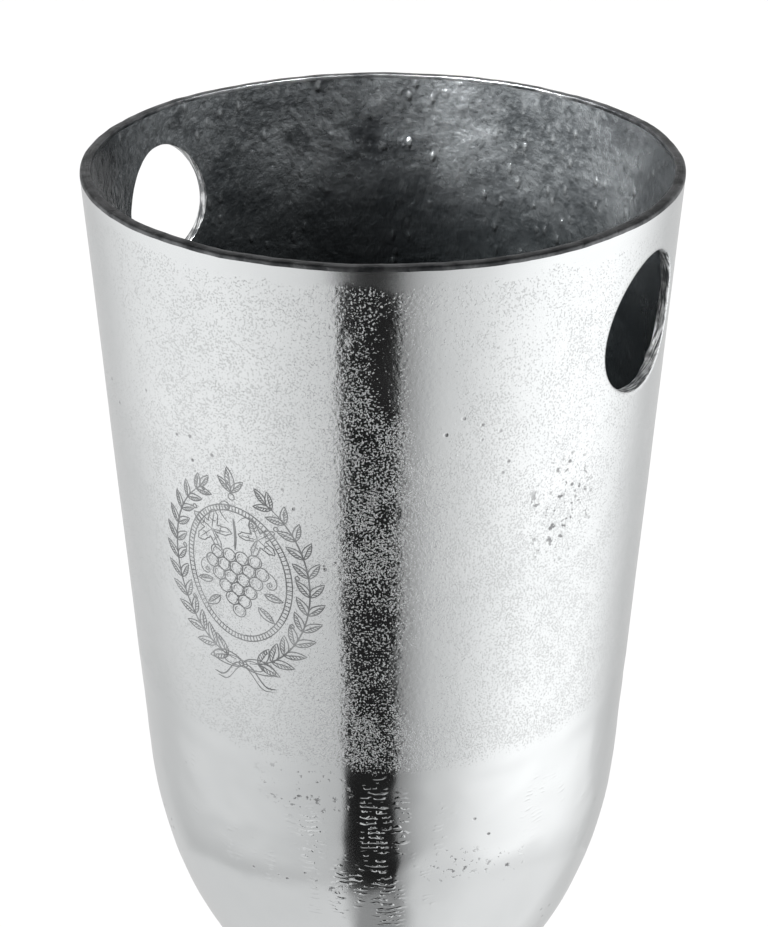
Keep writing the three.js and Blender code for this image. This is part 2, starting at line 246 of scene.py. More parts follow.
# The pale surround, and the softboxes in front of it. Azimuths are in degrees from the camera's
# direction: where a softbox starts, where it is full from and to, and where it ends, and then how much
# it adds to the surround. The dark gap between the softboxes is where the camera stands, and its left
# edge leans.
SURROUND = 0.50
LEFT_SOFTBOX = (-135, -80, -62, 2, 0.30)
RIGHT_SOFTBOX = (10, 66, 84, 128, 0.53)
DARK_STRIP = (154, 156, 158, 160)  # a stand behind the right softbox
DARK_STRIP_LEVEL = 0.16
SCREEN_GAIN = 1.3  # brings a level to the brightness that the metal then shows
GAP_LEVEL = 0.012
GAP_LEFT = -17.0  # degrees, at the floor
GAP_LEAN = 2.9  # degrees per metre of height
GAP_RIGHT = 5.0  # degrees
GAP_SOFTNESS = 0.9  # degrees
SCREEN_RADIUS = 0.5
SCREEN_HEIGHT = 1.25
LIGHT_REACH = 0.40  # from the cup's axis
LIGHT_HEIGHT = 0.62  # above the rim
LIGHT_SIZE = 0.10
LIGHT_SPREAD = math.radians(14)
AIM_REACH = 0.11  # of the place that a light points at, from the axis
AIM_DEPTH = 0.03  # and below the rim


def grey(level):
    return (level, level, level)


def only_reflected(thing):
    """A stage piece that shows in reflections and nowhere else."""
    thing.visible_camera = False
    thing.visible_diffuse = False
    thing.visible_transmission = False
    thing.visible_volume_scatter = False
    thing.visible_shadow = False


def new_object(name, vertices, faces, smooth=True):
    mesh = bpy.data.meshes.new(name)
    mesh.from_pydata([tuple(v) for v in vertices], [], [tuple(f) for f in faces])
    mesh.validate()
    mesh.polygons.foreach_set("use_smooth", [smooth] * len(mesh.polygons))
    thing = bpy.data.objects.new(name, mesh)
    bpy.context.scene.collection.objects.link(thing)
    return thing


def from_camera(graph):
    """The azimuth in degrees from the camera's direction on the floor plan, towards its right."""
    x, y, z = graph.separate()
    sine, cosine = math.sin(CAMERA_AZIMUTH), math.cos(CAMERA_AZIMUTH)
    right = graph.add(graph.times(x, cosine), graph.times(y, sine))
    near = graph.maths("SUBTRACT", graph.times(x, sine), graph.times(y, cosine))
    return graph.times(graph.maths("ARCTAN2", right, near), 180 / math.pi), z


def ground_level(graph, azimuth):
    """How bright the ground round the stand is. It is darker in the gap's direction."""
    level = graph.blend(graph.step(azimuth, 10, 50), grey(0.57), grey(0.70))
    far = graph.most(graph.step(azimuth, -150, -95, 1.0, 0.0), graph.step(azimuth, 95, 125))
    level = graph.blend(far, level, grey(0.50))
    shade = graph.times(graph.step(azimuth, -20, -12), graph.step(azimuth, 6, 20, 1.0, 0.0))
    return graph.blend(shade, level, grey(0.24))


def stretch(graph, azimuth, start, full, last, end):
    """1 between two azimuths, with a soft side on each hand."""
    return graph.times(graph.step(azimuth, start, full), graph.step(azimuth, last, end, 1.0, 0.0))


def screen_material():
    graph = Graph("studio_screens", "ShaderNodeEmission")
    azimuth, z = from_camera(graph)
    level = SURROUND
    for *sides, gain in (LEFT_SOFTBOX, RIGHT_SOFTBOX):
        level = graph.add(level, graph.times(stretch(graph, azimuth, *sides), gain))
    # the right screen is shaded next to the gap
    shade = graph.most(graph.step(azimuth, -9, -7, 1.0, 0.0), graph.step(azimuth, -4, 22, 0.15, 1.0))
    level = graph.times(level, shade)
    level = graph.blend(stretch(graph, azimuth, *DARK_STRIP), level, grey(DARK_STRIP_LEVEL))
    left = graph.maths("MULTIPLY_ADD", z, GAP_LEAN, GAP_LEFT)
    after_left = graph.step(azimuth, left, graph.add(left, GAP_SOFTNESS))
    gap = graph.times(after_left, graph.step(azimuth, GAP_RIGHT, GAP_RIGHT + 1.2, 1.0, 0.0))
    # the left screens are dimmer towards the floor
    sag = graph.times(graph.step(azimuth, -135, -105), graph.step(azimuth, -20, 0, 0.22, 0.05))
    sag = graph.times(sag, graph.step(z, 0.20, 0.55, 1.0, 0.0))
    upwards = graph.step(z, SCREEN_HEIGHT * 0.62, SCREEN_HEIGHT, 1.0, 0.12)
    fade = graph.times(graph.maths("SUBTRACT", 1.0, sag), upwards)
    # the screens' feet fade to the ground's level, so no edge shows between them
    level = graph.blend(graph.step(z, 0.0, 0.22, 1.0, 0.0), level, ground_level(graph, azimuth))
    gap = graph.times(gap, graph.step(z, 0.0, 0.06))
    level = graph.blend(gap, level, grey(GAP_LEVEL))
    graph.set(Color=level, Strength=graph.times(fade, SCREEN_GAIN))
    return graph.material


def ground_material():
    graph = Graph("studio_ground", "ShaderNodeEmission")
    azimuth, _ = from_camera(graph)
    graph.set(Color=ground_level(graph, azimuth), Strength=SCREEN_GAIN)
    return graph.material


def disc(name, radius, z, material):
    count = 96
    edge = [outwards(2 * math.pi * step / count, radius, z) for step in range(count)]
    thing = new_object(name, edge, [tuple(range(count))], smooth=False)
    thing.data.materials.append(material)
    only_reflected(thing)


def make_screens():
    count = 96
    vertices, faces = [], []
    for step in range(count):
        azimuth = 2 * math.pi * step / count
        vertices.append(outwards(azimuth, SCREEN_RADIUS, 0.001))
        vertices.append(outwards(azimuth, SCREEN_RADIUS, SCREEN_HEIGHT))
        a, b = 2 * step, 2 * ((step + 1) % count)
        faces.append((a, b, b + 1, a + 1))
    screens = new_object("studio_screens", vertices, faces)
    screens.data.materials.append(screen_material())
    only_reflected(screens)

    graph = Graph("studio_ceiling", "ShaderNodeEmission")
    graph.set(Color=(1, 1, 1, 1), Strength=graph.step(graph.noise(1.5), 0.3, 0.7, 0.08, 0.20))
    disc("studio_ceiling", SCREEN_RADIUS * 1.6, SCREEN_HEIGHT + 0.35, graph.material)
    disc("studio_ground", SCREEN_RADIUS, 0.3 * MM, ground_material())


def make_floor():
    side = 30
    corners = [(-side, -side, 0), (side, -side, 0), (side, side, 0), (-side, side, 0)]
    floor = new_object("floor", corners, [(0, 1, 2, 3)], smooth=False)
    graph = Graph("floor")
    tone = graph.step(graph.noise(3.0, 3.0), 0.3, 0.7, 0.0, 1.0)
    graph.set(Base_Color=graph.blend(tone, grey(0.86), grey(0.88)), Roughness=0.9)
    floor.data.materials.append(graph.material)


def make_world():
    world = bpy.data.worlds.new("studio")
    world.use_nodes = True
    background = world.node_tree.nodes["Background"]
    background.inputs["Color"].default_value = (1, 1, 1, 1)
    background.inputs["Strength"].default_value = 1.2
    bpy.context.scene.world = world
    bpy.context.scene.view_settings.view_transform = "Standard"


def area_light(name, place, target, size, power):
    data = bpy.data.lights.new(name, "AREA")
    data.shape = "DISK"
    data.size = size
    data.energy = power
    light = bpy.data.objects.new(name, data)
    light.location = place
    light.rotation_euler = (Vector(target) - Vector(place)).to_track_quat("-Z", "Y").to_euler()
    bpy.context.scene.collection.objects.link(light)
    return light


def make_lights():
    """Two soft lights over the cup. The strong one stands on the camera's left and falls on the right
    of the cup's inside, and the weak one the other way round."""
    for name, turn, aim, power in (("inside_light", -62, 140, 0.64), ("inside_fill", 66, -140, 0.15)):
        source = outwards(CAMERA_AZIMUTH + math.radians(turn), LIGHT_REACH, RIM_Z + LIGHT_HEIGHT)
        target = outwards(CAMERA_AZIMUTH + math.radians(aim), AIM_REACH, RIM_Z - AIM_DEPTH)
        light = area_light(name, source, target, LIGHT_SIZE, power)
        light.data.spread = LIGHT_SPREAD


make_screens()
make_floor()
make_world()
make_lights()


# ---------- bucket ----------

COLUMNS = 320
COLUMN_ANGLE = 2 * math.pi / COLUMNS
WALL_ROWS = 100
OUTER_BOWL_ROWS = 48
INNER_BOWL_ROWS = 28
RIM_ROUND = 1.1 * MM  # the outer edge of the rim
RIM_BURR = 0.5 * MM  # the inner edge of the rim
HOLE_PATCH_COLUMNS = 16  # each side of the hole's middle
HOLE_PATCH_MARGIN = 10 * MM  # above and below the hole
HOLE_RINGS = 7
HOLE_ROUND = 1.5 * MM
HOLE_ROUND_INSIDE = 0.6 * MM
OUTSIDE, RIM_FACE, INSIDE, HOLE_WALL = 0, 1, 2, 3
POLISH_DEPTH = 226 * MM  # below this the skin is ground and polished


def wall_radius(depth, inset=0.0):
    return RIM_RADIUS - inset - TAPER * depth


def bowl_point(angle, inset):
    """(radius, z) of the elliptical bowl. The angle is 0 at the shoulder."""
    drop = (BOWL_DEPTH - (FLOOR_THICKNESS if inset else 0)) * math.sin(angle)
    return wall_radius(SHOULDER_DEPTH + drop, inset) * math.cos(angle), SHOULDER_Z - drop


def bowl_angle(radius, inset):
    """The angle at which the bowl has narrowed to a radius."""
    low, high = 0.0, math.pi / 2
    for _ in range(40):
        middle = (low + high) / 2
        if bowl_point(middle, inset)[0] > radius:
            low = middle
        else:
            high = middle
    return low


WALL_DEPTHS = np.linspace(1.6 * MM, SHOULDER_DEPTH, WALL_ROWS)


def bucket_profile():
    """Rows of (radius, z, material) from the bore under the boss, up the outside, over the rim and
    down the inside to the bore again. Also gives the first outer and inner wall row's index."""
    rows = [(radius * MM, BOSS_Z + lift * MM, OUTSIDE)
            for radius, lift in ((5.6, 0), (16, 0), (25.6, 0), (26.4, 0.2), (27, 0.9))]
    end = bowl_angle(BOSS_RADIUS, 0)
    rows.append((BOSS_RADIUS, bowl_point(end, 0)[1] - 1.2 * MM, OUTSIDE))
    for angle in np.linspace(end - 0.012, 0, OUTER_BOWL_ROWS, endpoint=False):
        rows.append((*bowl_point(angle, 0), OUTSIDE))
    outer_first = len(rows)
    for depth in WALL_DEPTHS[::-1]:
        rows.append((wall_radius(depth), RIM_Z - depth, OUTSIDE))
    for turn in (30, 60, 88):
        angle = math.radians(turn)
        radius = RIM_RADIUS - RIM_ROUND + RIM_ROUND * math.cos(angle)
        rows.append((radius, RIM_Z - RIM_ROUND + RIM_ROUND * math.sin(angle), RIM_FACE))
    inner_edge = RIM_RADIUS - WALL
    rows.append((inner_edge + WALL * 0.42, RIM_Z - 0.03 * MM, RIM_FACE))
    for turn in (5, 45, 85):
        angle = math.radians(turn)
        radius = inner_edge + RIM_BURR - RIM_BURR * math.sin(angle)
        rows.append((radius, RIM_Z - RIM_BURR + RIM_BURR * math.cos(angle), RIM_FACE))
    inner_first = len(rows)
    for depth in WALL_DEPTHS:
        rows.append((wall_radius(depth, WALL), RIM_Z - depth, INSIDE))
    end = bowl_angle(WELL_RADIUS, WALL)
    for angle in np.linspace(0, end, INNER_BOWL_ROWS + 1)[1:]:
        rows.append((*bowl_point(angle, WALL), INSIDE))
    floor_z = rows[-1][1]
    rows.append((22 * MM, floor_z, INSIDE))
    rows.append((ROD_BORE, floor_z, INSIDE))
    return rows, outer_first, inner_first


def hole_outline(hole, angle, grow=0.0):
    """(sideways, up) on the egg-shaped outline from the hole's middle, moved outwards by grow."""
    side = hole.half_width * math.cos(angle) * (1 - hole.egg * math.sin(angle))
    up = hole.half_height * math.sin(angle)
    length = math.hypot(side, up)
    return side * (1 + grow / length) + hole.shift * hole.facing, up * (1 + grow / length)


def on_wall(side_angle, depth, inset, facing):
    """The point on the outer or inner wall at an angle from the X axis. facing is +1 or -1."""
    radius = facing * wall_radius(depth, inset)
    return (radius * math.cos(side_angle), radius * math.sin(side_angle), RIM_Z - depth)


class Bucket:
    """Collects the bucket's vertices and faces. Round each hand hole, a patch of the lattice of rows
    and columns gives way to rings that close in on the hole's edge."""

    def __init__(self):
        self.rows, self.outer_first, self.inner_first = bucket_profile()
        self.vertices = []
        self.faces = []
        self.kinds = []
        for radius, z, _ in self.rows:
            for column in range(COLUMNS):
                azimuth = COLUMN_ANGLE * column
                self.vertices.append((radius * math.cos(azimuth), radius * math.sin(azimuth), z))
        self.patches = [self.patch(hole) for hole in HOLES]
        self.add_lattice()
        for hole, patch in zip(HOLES, self.patches):
            self.add_hole(hole, *patch)

    def patch(self, hole):
        """The middle column and the top and bottom wall row of the patch round a hole."""
        inside = [
            row for row, depth in enumerate(WALL_DEPTHS)
            if abs(depth - hole.depth) < hole.half_height + HOLE_PATCH_MARGIN
        ]
        middle = round(hole.facing * hole.shift / wall_radius(hole.depth) / COLUMN_ANGLE)
        return middle + (0 if hole.facing > 0 else COLUMNS // 2), inside[0], inside[-1]

    def at(self, row, column):
        return row * COLUMNS + column % COLUMNS

    def wall_row(self, depth_index, inner):
        """The profile row at an index into the wall's depths."""
        if inner:
            return self.inner_first + depth_index
        return self.outer_first + WALL_ROWS - 1 - depth_index

    def in_patch(self, row, column):
        """True for a lattice face that a hand hole's patch takes the place of."""
        for middle, top, bottom in self.patches:
            outer = range(self.wall_row(bottom, False), self.wall_row(top, False))
            inner = range(self.wall_row(top, True), self.wall_row(bottom, True))
            offset = (column - middle + COLUMNS // 2) % COLUMNS - COLUMNS // 2
            if (row in outer or row in inner) and -HOLE_PATCH_COLUMNS <= offset < HOLE_PATCH_COLUMNS:
                return True
        return False

    def add_lattice(self):
        count = len(self.rows)
        for row in range(count):
            following = (row + 1) % count
            kind = self.rows[row][2] if self.rows[row][2] != OUTSIDE else self.rows[following][2]
            if row == count - 1:
                kind = INSIDE
            if kind == INSIDE and row < self.inner_first:
                kind = RIM_FACE
            for column in range(COLUMNS):
                if not self.in_patch(row, column):
                    self.faces.append((
                        self.at(row, column), self.at(row, column + 1),
                        self.at(following, column + 1), self.at(following, column),
                    ))
                    self.kinds.append(kind)

    def patch_border(self, middle, top, bottom, inner):
        """The lattice vertices round a patch, in order, as (vertex, column, wall row)."""
        reach = HOLE_PATCH_COLUMNS
        path = [(c, top) for c in range(-reach, reach)]
        path += [(reach, r) for r in range(top, bottom)]
        path += [(c, bottom) for c in range(reach, -reach, -1)]
        path += [(-reach, r) for r in range(bottom, top, -1)]
        return [(self.at(self.wall_row(r, inner), middle + c), middle + c, r) for c, r in path]

    def ring(self, points):
        first = len(self.vertices)
        self.vertices.extend(points)
        return list(range(first, first + len(points)))

    def bridge(self, ring_a, ring_b, kind):
        count = len(ring_a)
        for k in range(count):
            n = (k + 1) % count
            self.faces.append((ring_a[k], ring_a[n], ring_b[n], ring_b[k]))
            self.kinds.append(kind)

    def hole_side(self, hole, border, inset, grow):
        """Rings from the patch's border to the hole's rounded edge, on one side of the wall, and the
        outline's angle for each point of the border."""
        start = 0 if hole.facing > 0 else COLUMNS // 2
        places = [((column - start) * COLUMN_ANGLE, WALL_DEPTHS[row]) for _, column, row in border]
        angles = []
        for side, depth in places:
            across = math.sin(side) * wall_radius(depth, inset) - hole.shift * hole.facing
            angles.append(math.atan2((hole.depth - depth) / hole.half_height, across / hole.half_width))
        rings = [[vertex for vertex, _, _ in border]]
        for step in range(1, HOLE_RINGS + 1):
            share = (step / HOLE_RINGS) ** 0.8
            points = []
            for (side, depth), angle in zip(places, angles):
                across, up = hole_outline(hole, angle, grow)
                edge_depth = hole.depth - up
                edge_side = math.asin(across / wall_radius(edge_depth, inset))
                points.append(on_wall(
                    side + (edge_side - side) * share, depth + (edge_depth - depth) * share,
                    inset, hole.facing,
                ))
            rings.append(self.ring(points))
        return rings, angles

    def hole_ring(self, hole, angles, grow, inset, gap):
        """A ring on the hole's own wall, a gap inwards from the outer or inner face of the cup."""
        points = []
        for angle in angles:
            across, up = hole_outline(hole, angle, grow)
            depth = hole.depth - up
            reach = math.sqrt(wall_radius(depth, inset) ** 2 - across ** 2) + gap
            points.append((hole.facing * reach, hole.facing * across, RIM_Z - depth))
        return self.ring(points)

    def add_hole(self, hole, middle, top, bottom):
        outer_border = self.patch_border(middle, top, bottom, False)
        inner_border = self.patch_border(middle, top, bottom, True)
        outer, angles = self.hole_side(hole, outer_border, 0.0, HOLE_ROUND)
        inner, _ = self.hole_side(hole, inner_border, WALL, HOLE_ROUND_INSIDE)
        chain = list(outer)
        kinds = [OUTSIDE] * (len(outer) + 1)
        turns = [math.radians(t) for t in (22, 45, 68, 90)]
        for turn in turns:
            low = HOLE_ROUND * (1 - math.sin(turn))
            back = HOLE_ROUND * (1 - math.cos(turn))
            chain.append(self.hole_ring(hole, angles, low, 0.0, -back))
        for turn in turns[::-1]:
            low = HOLE_ROUND_INSIDE * (1 - math.sin(turn))
            back = HOLE_ROUND_INSIDE * (1 - math.cos(turn))
            chain.append(self.hole_ring(hole, angles, low, WALL, back))
        kinds += [HOLE_WALL] * 6 + [INSIDE] * len(inner)
        chain += inner[::-1]
        for ring_a, ring_b, kind in zip(chain, chain[1:], kinds):
            self.bridge(ring_a, ring_b, kind)


# Lumps left on the inside by the mould, as (azimuth in degrees from the camera, depth, size, height),
# in millimetres.
MOULD_LUMPS = [
    (183, 17, 3.0, 1.7), (179, 31, 2.8, 1.9),
    (175, 33, 2.4, 1.6), (187, 36, 2.6, 1.8),
    (193, 15, 2.4, 1.4), (190, 20, 2.2, 1.4),
    (170, 52, 2.2, 1.3), (163, 60, 2.0, 1.2),
    (160, 30, 2.2, 1.2), (156, 44, 2.0, 1.1),
]


def lump_field(azimuth, depth, radius):
    """How far the lumps stand inwards from the inner wall, for arrays of places."""
    rng = random.Random(7)
    lumps = [
        (math.radians(turn) + CAMERA_AZIMUTH, *(size * MM for size in sizes))
        for turn, *sizes in MOULD_LUMPS
    ]
    for _ in range(210):
        place = rng.uniform(0, 2 * math.pi), rng.uniform(6, 260) * MM
        lumps.append((*place, rng.uniform(1.6, 3.6) * MM, rng.uniform(0.3, 1.1) * MM))
    field = np.zeros_like(azimuth)
    for lump_azimuth, lump_depth, size, height in lumps:
        along = (azimuth - lump_azimuth + math.pi) % (2 * math.pi) - math.pi
        far = ((along * radius) ** 2 + (depth - lump_depth) ** 2) / size ** 2
        field += height * np.exp(-far)
    return field


def skin_push(point):
    """How far a point of the outer skin stands proud of the true cone."""
    here = Vector(point) / (30 * MM)
    push = noise.noise(here * 0.5) * 0.16 * MM
    push += noise.noise(here * 1.3 + Vector((9, 0, 0))) * 0.05 * MM
    depth = RIM_Z - point[2]
    ground = min(1.0, max(0.0, (depth - POLISH_DEPTH) / (9 * MM)))
    facets = abs(noise.noise(here * 0.8 + Vector((0, 4, 0)))) * 0.55
    facets += abs(noise.noise(here * 1.9 + Vector((6, 0, 2)))) * 0.16
    return push - ground * (0.10 + facets) * MM


def uneven(vertices):
    """Moves the vertices as a hand-finished casting is uneven: a wavy rim, a wall that isn't quite
    round, ground facets low on the skin, and a lumpy inside."""
    places = np.array(vertices)
    x, y, z = places.T
    radius = np.hypot(x, y)
    depth = RIM_Z - z
    azimuth = np.arctan2(x, -y)
    # how much of each point belongs to the inside, from the shape of the true inner surface
    drop = np.clip((SHOULDER_Z - z) / (BOWL_DEPTH - FLOOR_THICKNESS), 0, 1)
    inner = (RIM_RADIUS - WALL - TAPER * depth) * np.sqrt(1 - drop ** 2)
    share = np.clip(1 - (radius - inner) / (1.5 * MM), 0, 1)
    share *= np.clip((depth - 1 * MM) / (6 * MM), 0, 1)
    share[z < BOSS_Z + 25 * MM] = 0
    lumps = lump_field(azimuth, depth, radius)
    result = []
    for index, place in enumerate(vertices):
        point = Vector(place)
        here = point / (30 * MM)
        calm = min(1.0, max(0.0, (point.z - BOSS_Z) / (30 * MM)))
        push = skin_push(place) * (1 - share[index])
        if share[index] > 0:
            rough = noise.noise(here * 2.2 + Vector((0, 5, 0))) * 0.5 * MM
            rough += noise.noise(here * 6.0) * 0.2 * MM
            push += (rough - lumps[index]) * share[index]
        lift = 0.0
        if depth[index] < 25 * MM:
            around = Vector((math.cos(azimuth[index]), math.sin(azimuth[index]), 0))
            wave = noise.noise(around * 4.0) * 0.5
            wave += noise.noise(around * 14.0 + Vector((0, 0, 3))) * 0.22
            wave += noise.noise(around * 45.0 + Vector((0, 0, 6))) * 0.10
            lift = wave * MM * (1 - depth[index] / (25 * MM))
        radial = Vector((place[0], place[1], 0)) / radius[index]
        result.append(point + radial * push * calm + Vector((0, 0, lift)))
    return result


def clean_up(thing):
    """Deletes vertices without a face, and turns the faces outwards."""
    mesh = bmesh.new()
    mesh.from_mesh(thing.data)
    loose = [v for v in mesh.verts if not v.link_faces]
    bmesh.ops.delete(mesh, geom=loose, context="VERTS")
    bmesh.ops.recalc_face_normals(mesh, faces=mesh.faces)
    mesh.to_mesh(thing.data)
    mesh.free()


def place_piece(thing, slot, *nodes):
    """A finished piece: it rides on the stand and stands for CAD nodes, which are hidden."""
    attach(thing, "root")
    if nodes:
        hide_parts(*nodes)


def make_bucket():
    shape = Bucket()
    thing = new_object("bucket_casting", uneven(shape.vertices), shape.faces)
    # from_pydata keeps the order of the faces, so their kinds still match
    for material in (skin_material(), rim_material(), inside_material(), hole_wall_material()):
        thing.data.materials.append(material)
    thing.data.polygons.foreach_set("material_index", shape.kinds)
    clean_up(thing)
    place_piece(thing, "nickel_cast", "bucket")


# ---------- metals of the bucket ----------

# Places on the wall by (azimuth in degrees from the front, depth, half width, half height), in
# millimetres.
SMOOTH_SPOTS = [
    (43, 52, 9, 22), (34.8, 38, 5, 20), (41, 176, 8, 20),
]
SHINY_STREAKS = [(30, 27, 3, 4)]
PIT_CLUSTERS = [
    (70, 108, 15, 22), (50, 276, 11, 8), (22, 285, 7, 5),
    (16, 236, 16, 12), (62, 284, 10, 8),
]
CHATTER_COLUMNS = [  # where the grinder skipped down the bowl
    (33.2, 262, 2.6, 36), (30.7, 250, 2.4, 16),
    (28.5, 285, 2.6, 9), (38.0, 250, 2.6, 12),
    (24.0, 288, 3.2, 12), (18.0, 262, 5.0, 14),
    (35.2, 297, 5.0, 14),
]


def any_spot(graph, azimuth, depth, spots, softness=0.5):
    mask = 0.0
    for spot in spots:
        mask = graph.most(mask, graph.near(azimuth, depth, spot, softness))
    return mask


def cast_nickel_colour(graph, specks):
    """Bright nickel, slightly mottled, and greyer on the specks of the sand texture."""
    tone = graph.step(graph.noise(11, 4.0, 0.6), 0.3, 0.7)
    colour = graph.blend(tone, (0.735, 0.752, 0.757), (0.79, 0.806, 0.81))
    return graph.blend(graph.times(specks, 0.12), colour, (0.50, 0.51, 0.52))


def skin_material():
    """Nickel over a sand casting: polished, but rough where the grinding didn't reach the bottom of
    the sand texture. A band under the rim and the bowl are ground smooth."""
    graph = Graph("nickel_skin")
    _, azimuth, z = graph.polar()
    depth = graph.maths("SUBTRACT", RIM_Z, z)
    wander = graph.times(graph.add(graph.noise(45, 3.0), -0.5), 14 * MM)
    wandering = graph.add(depth, wander)
    below_band = graph.step(wandering, 5 * MM, 9 * MM)
    above_polish = graph.step(wandering, POLISH_DEPTH - 10 * MM, POLISH_DEPTH, 1.0, 0.0)
    zone = graph.times(below_band, above_polish)
    smooth = any_spot(graph, azimuth, depth, SMOOTH_SPOTS)

    # the sand texture: rounded specks about a millimetre apart
    patches = graph.step(graph.noise(17, 3.0, 0.6), 0.34, 0.62, 0.62, 1.0)
    deeper = graph.step(depth, 10 * MM, 45 * MM, 0.8, 1.0)
    density = graph.times(graph.times(patches, deeper), zone)
    density = graph.times(density, graph.maths("MULTIPLY_ADD", smooth, -0.85, 1.0))
    density = graph.times(density, graph.step(graph.noise(90, 3.0, 0.6), 0.30, 0.62, 0.55, 1.0))
    grain = graph.noise(1300, 2.2, 0.5)
    threshold = graph.maths("MULTIPLY_ADD", density, -0.20, 0.695)
    specks = graph.step(grain, threshold, graph.add(threshold, 0.10))
    specks = graph.times(specks, graph.step(zone, 0.0, 0.5))
    relief = graph.times(graph.noise(520, 2.0, 0.55), graph.maths("MULTIPLY_ADD", density, 0.45, 0.55))
    relief = graph.times(relief, graph.step(zone, 0.0, 1.0, 0.12, 1.0))

    # the grinder's marks
    brushed = graph.marks(graph.stretched(45, 45, 2400))
    band = graph.maths("SUBTRACT", 1.0, below_band)
    polish = graph.maths("SUBTRACT", 1.0, above_polish)
    brushed = graph.times(brushed, graph.add(graph.times(band, 6.0), 0.8))
    phase = graph.times(graph.noise(90, 2.0), 15.0)
    chatter = graph.maths("SINE", graph.add(graph.times(z, 2 * math.pi / (2.7 * MM)), phase))
    chatter = graph.step(chatter, -0.4, 1.0)
    skipped = graph.step(graph.marks(graph.stretched(210, 210, 300), 2.0, 0.5), 0.46, 0.56, 0.0, 1.0)
    chatter = graph.times(chatter, skipped)
    columns = any_spot(graph, azimuth, depth, CHATTER_COLUMNS, 0.85)
    strays = graph.step(graph.marks(graph.stretched(110, 110, 40), 2.0, 0.5), 0.56, 0.68, 0.0, 0.22)
    columns = graph.most(columns, graph.times(strays, graph.step(depth, 232 * MM, 240 * MM)))
    chatter = graph.times(graph.times(chatter, columns), polish)

    # sparse round holes in the casting, and clusters of ragged pits
    holes = graph.step(graph.cells(150), 0.05, 0.16, -1.0, 0.0)
    holes = graph.times(holes, graph.step(graph.noise(22, 1.0), 0.61, 0.68))
    cluster = any_spot(graph, azimuth, depth, PIT_CLUSTERS, 0.6)
    ragged = graph.step(graph.noise(330, 3.0, 0.6), 0.60, 0.68, 0.0, -1.0)
    ragged = graph.times(ragged, cluster)
    streak = any_spot(graph, azimuth, depth, SHINY_STREAKS, 0.7)
    streaks = graph.times(graph.marks(graph.stretched(260, 260, 120), 2.0, 0.5), streak)

    normal = graph.bumps(
        (specks, 0.10), (relief, 0.08), (graph.noise(1900, 2.0), 0.007), (brushed, 0.006),
        (chatter, 0.24), (graph.add(holes, ragged), 0.25), (streaks, 0.2),
    )

    colour = cast_nickel_colour(graph, specks)
    pitted = graph.times(graph.add(holes, ragged), -0.75)
    colour = graph.blend(pitted, colour, (0.12, 0.12, 0.125))
    polished = graph.step(graph.noise(30, 3.0), 0.3, 0.7, 0.08, 0.14)
    roughness = graph.maths("MULTIPLY_ADD", specks, 0.10, polished)
    roughness = graph.add(roughness, graph.times(band, 0.08))
    return graph.finished(colour, 1.0, roughness, normal)


def rim_material():
    """The rim's top: filed flat, duller than the skin, with marks that run round it."""
    graph = Graph("rim_face")
    radius, azimuth, _ = graph.polar()
    marks = graph.combine(graph.times(azimuth, 14.0), graph.times(radius, 2400.0), 0.0)
    marks = graph.marks(marks)
    blotches = graph.noise(90, 4.0, 0.6)
    nicks = graph.step(graph.noise(260, 2.0), 0.62, 0.68, 0.0, -1.0)
    normal = graph.bumps((marks, 0.03), (blotches, 0.16), (nicks, 0.12), (graph.noise(700, 3.0), 0.03))
    colour = graph.blend(graph.step(blotches, 0.35, 0.65), (0.055, 0.058, 0.061), (0.19, 0.195, 0.20))
    roughness = graph.step(marks, 0.3, 0.7, 0.28, 0.5)
    return graph.finished(colour, 1.0, roughness, normal)


def hole_wall_material():
    """The hand holes' walls: filed round the hole, bright where the file reached and dull between."""
    graph = Graph("hole_wall")
    strokes = graph.marks(graph.stretched(1300, 110, 110))
    waves = graph.noise(150, 3.0, 0.6)
    normal = graph.bumps((strokes, 0.20), (waves, 0.45))
    filed = graph.times(graph.step(strokes, 0.40, 0.58), graph.step(waves, 0.38, 0.56, 0.25, 1.0))
    colour = graph.blend(filed, (0.10, 0.105, 0.11), (0.80, 0.81, 0.815))
    roughness = graph.step(strokes, 0.3, 0.7, 0.30, 0.50)
    return graph.finished(colour, 0.75, roughness, normal)


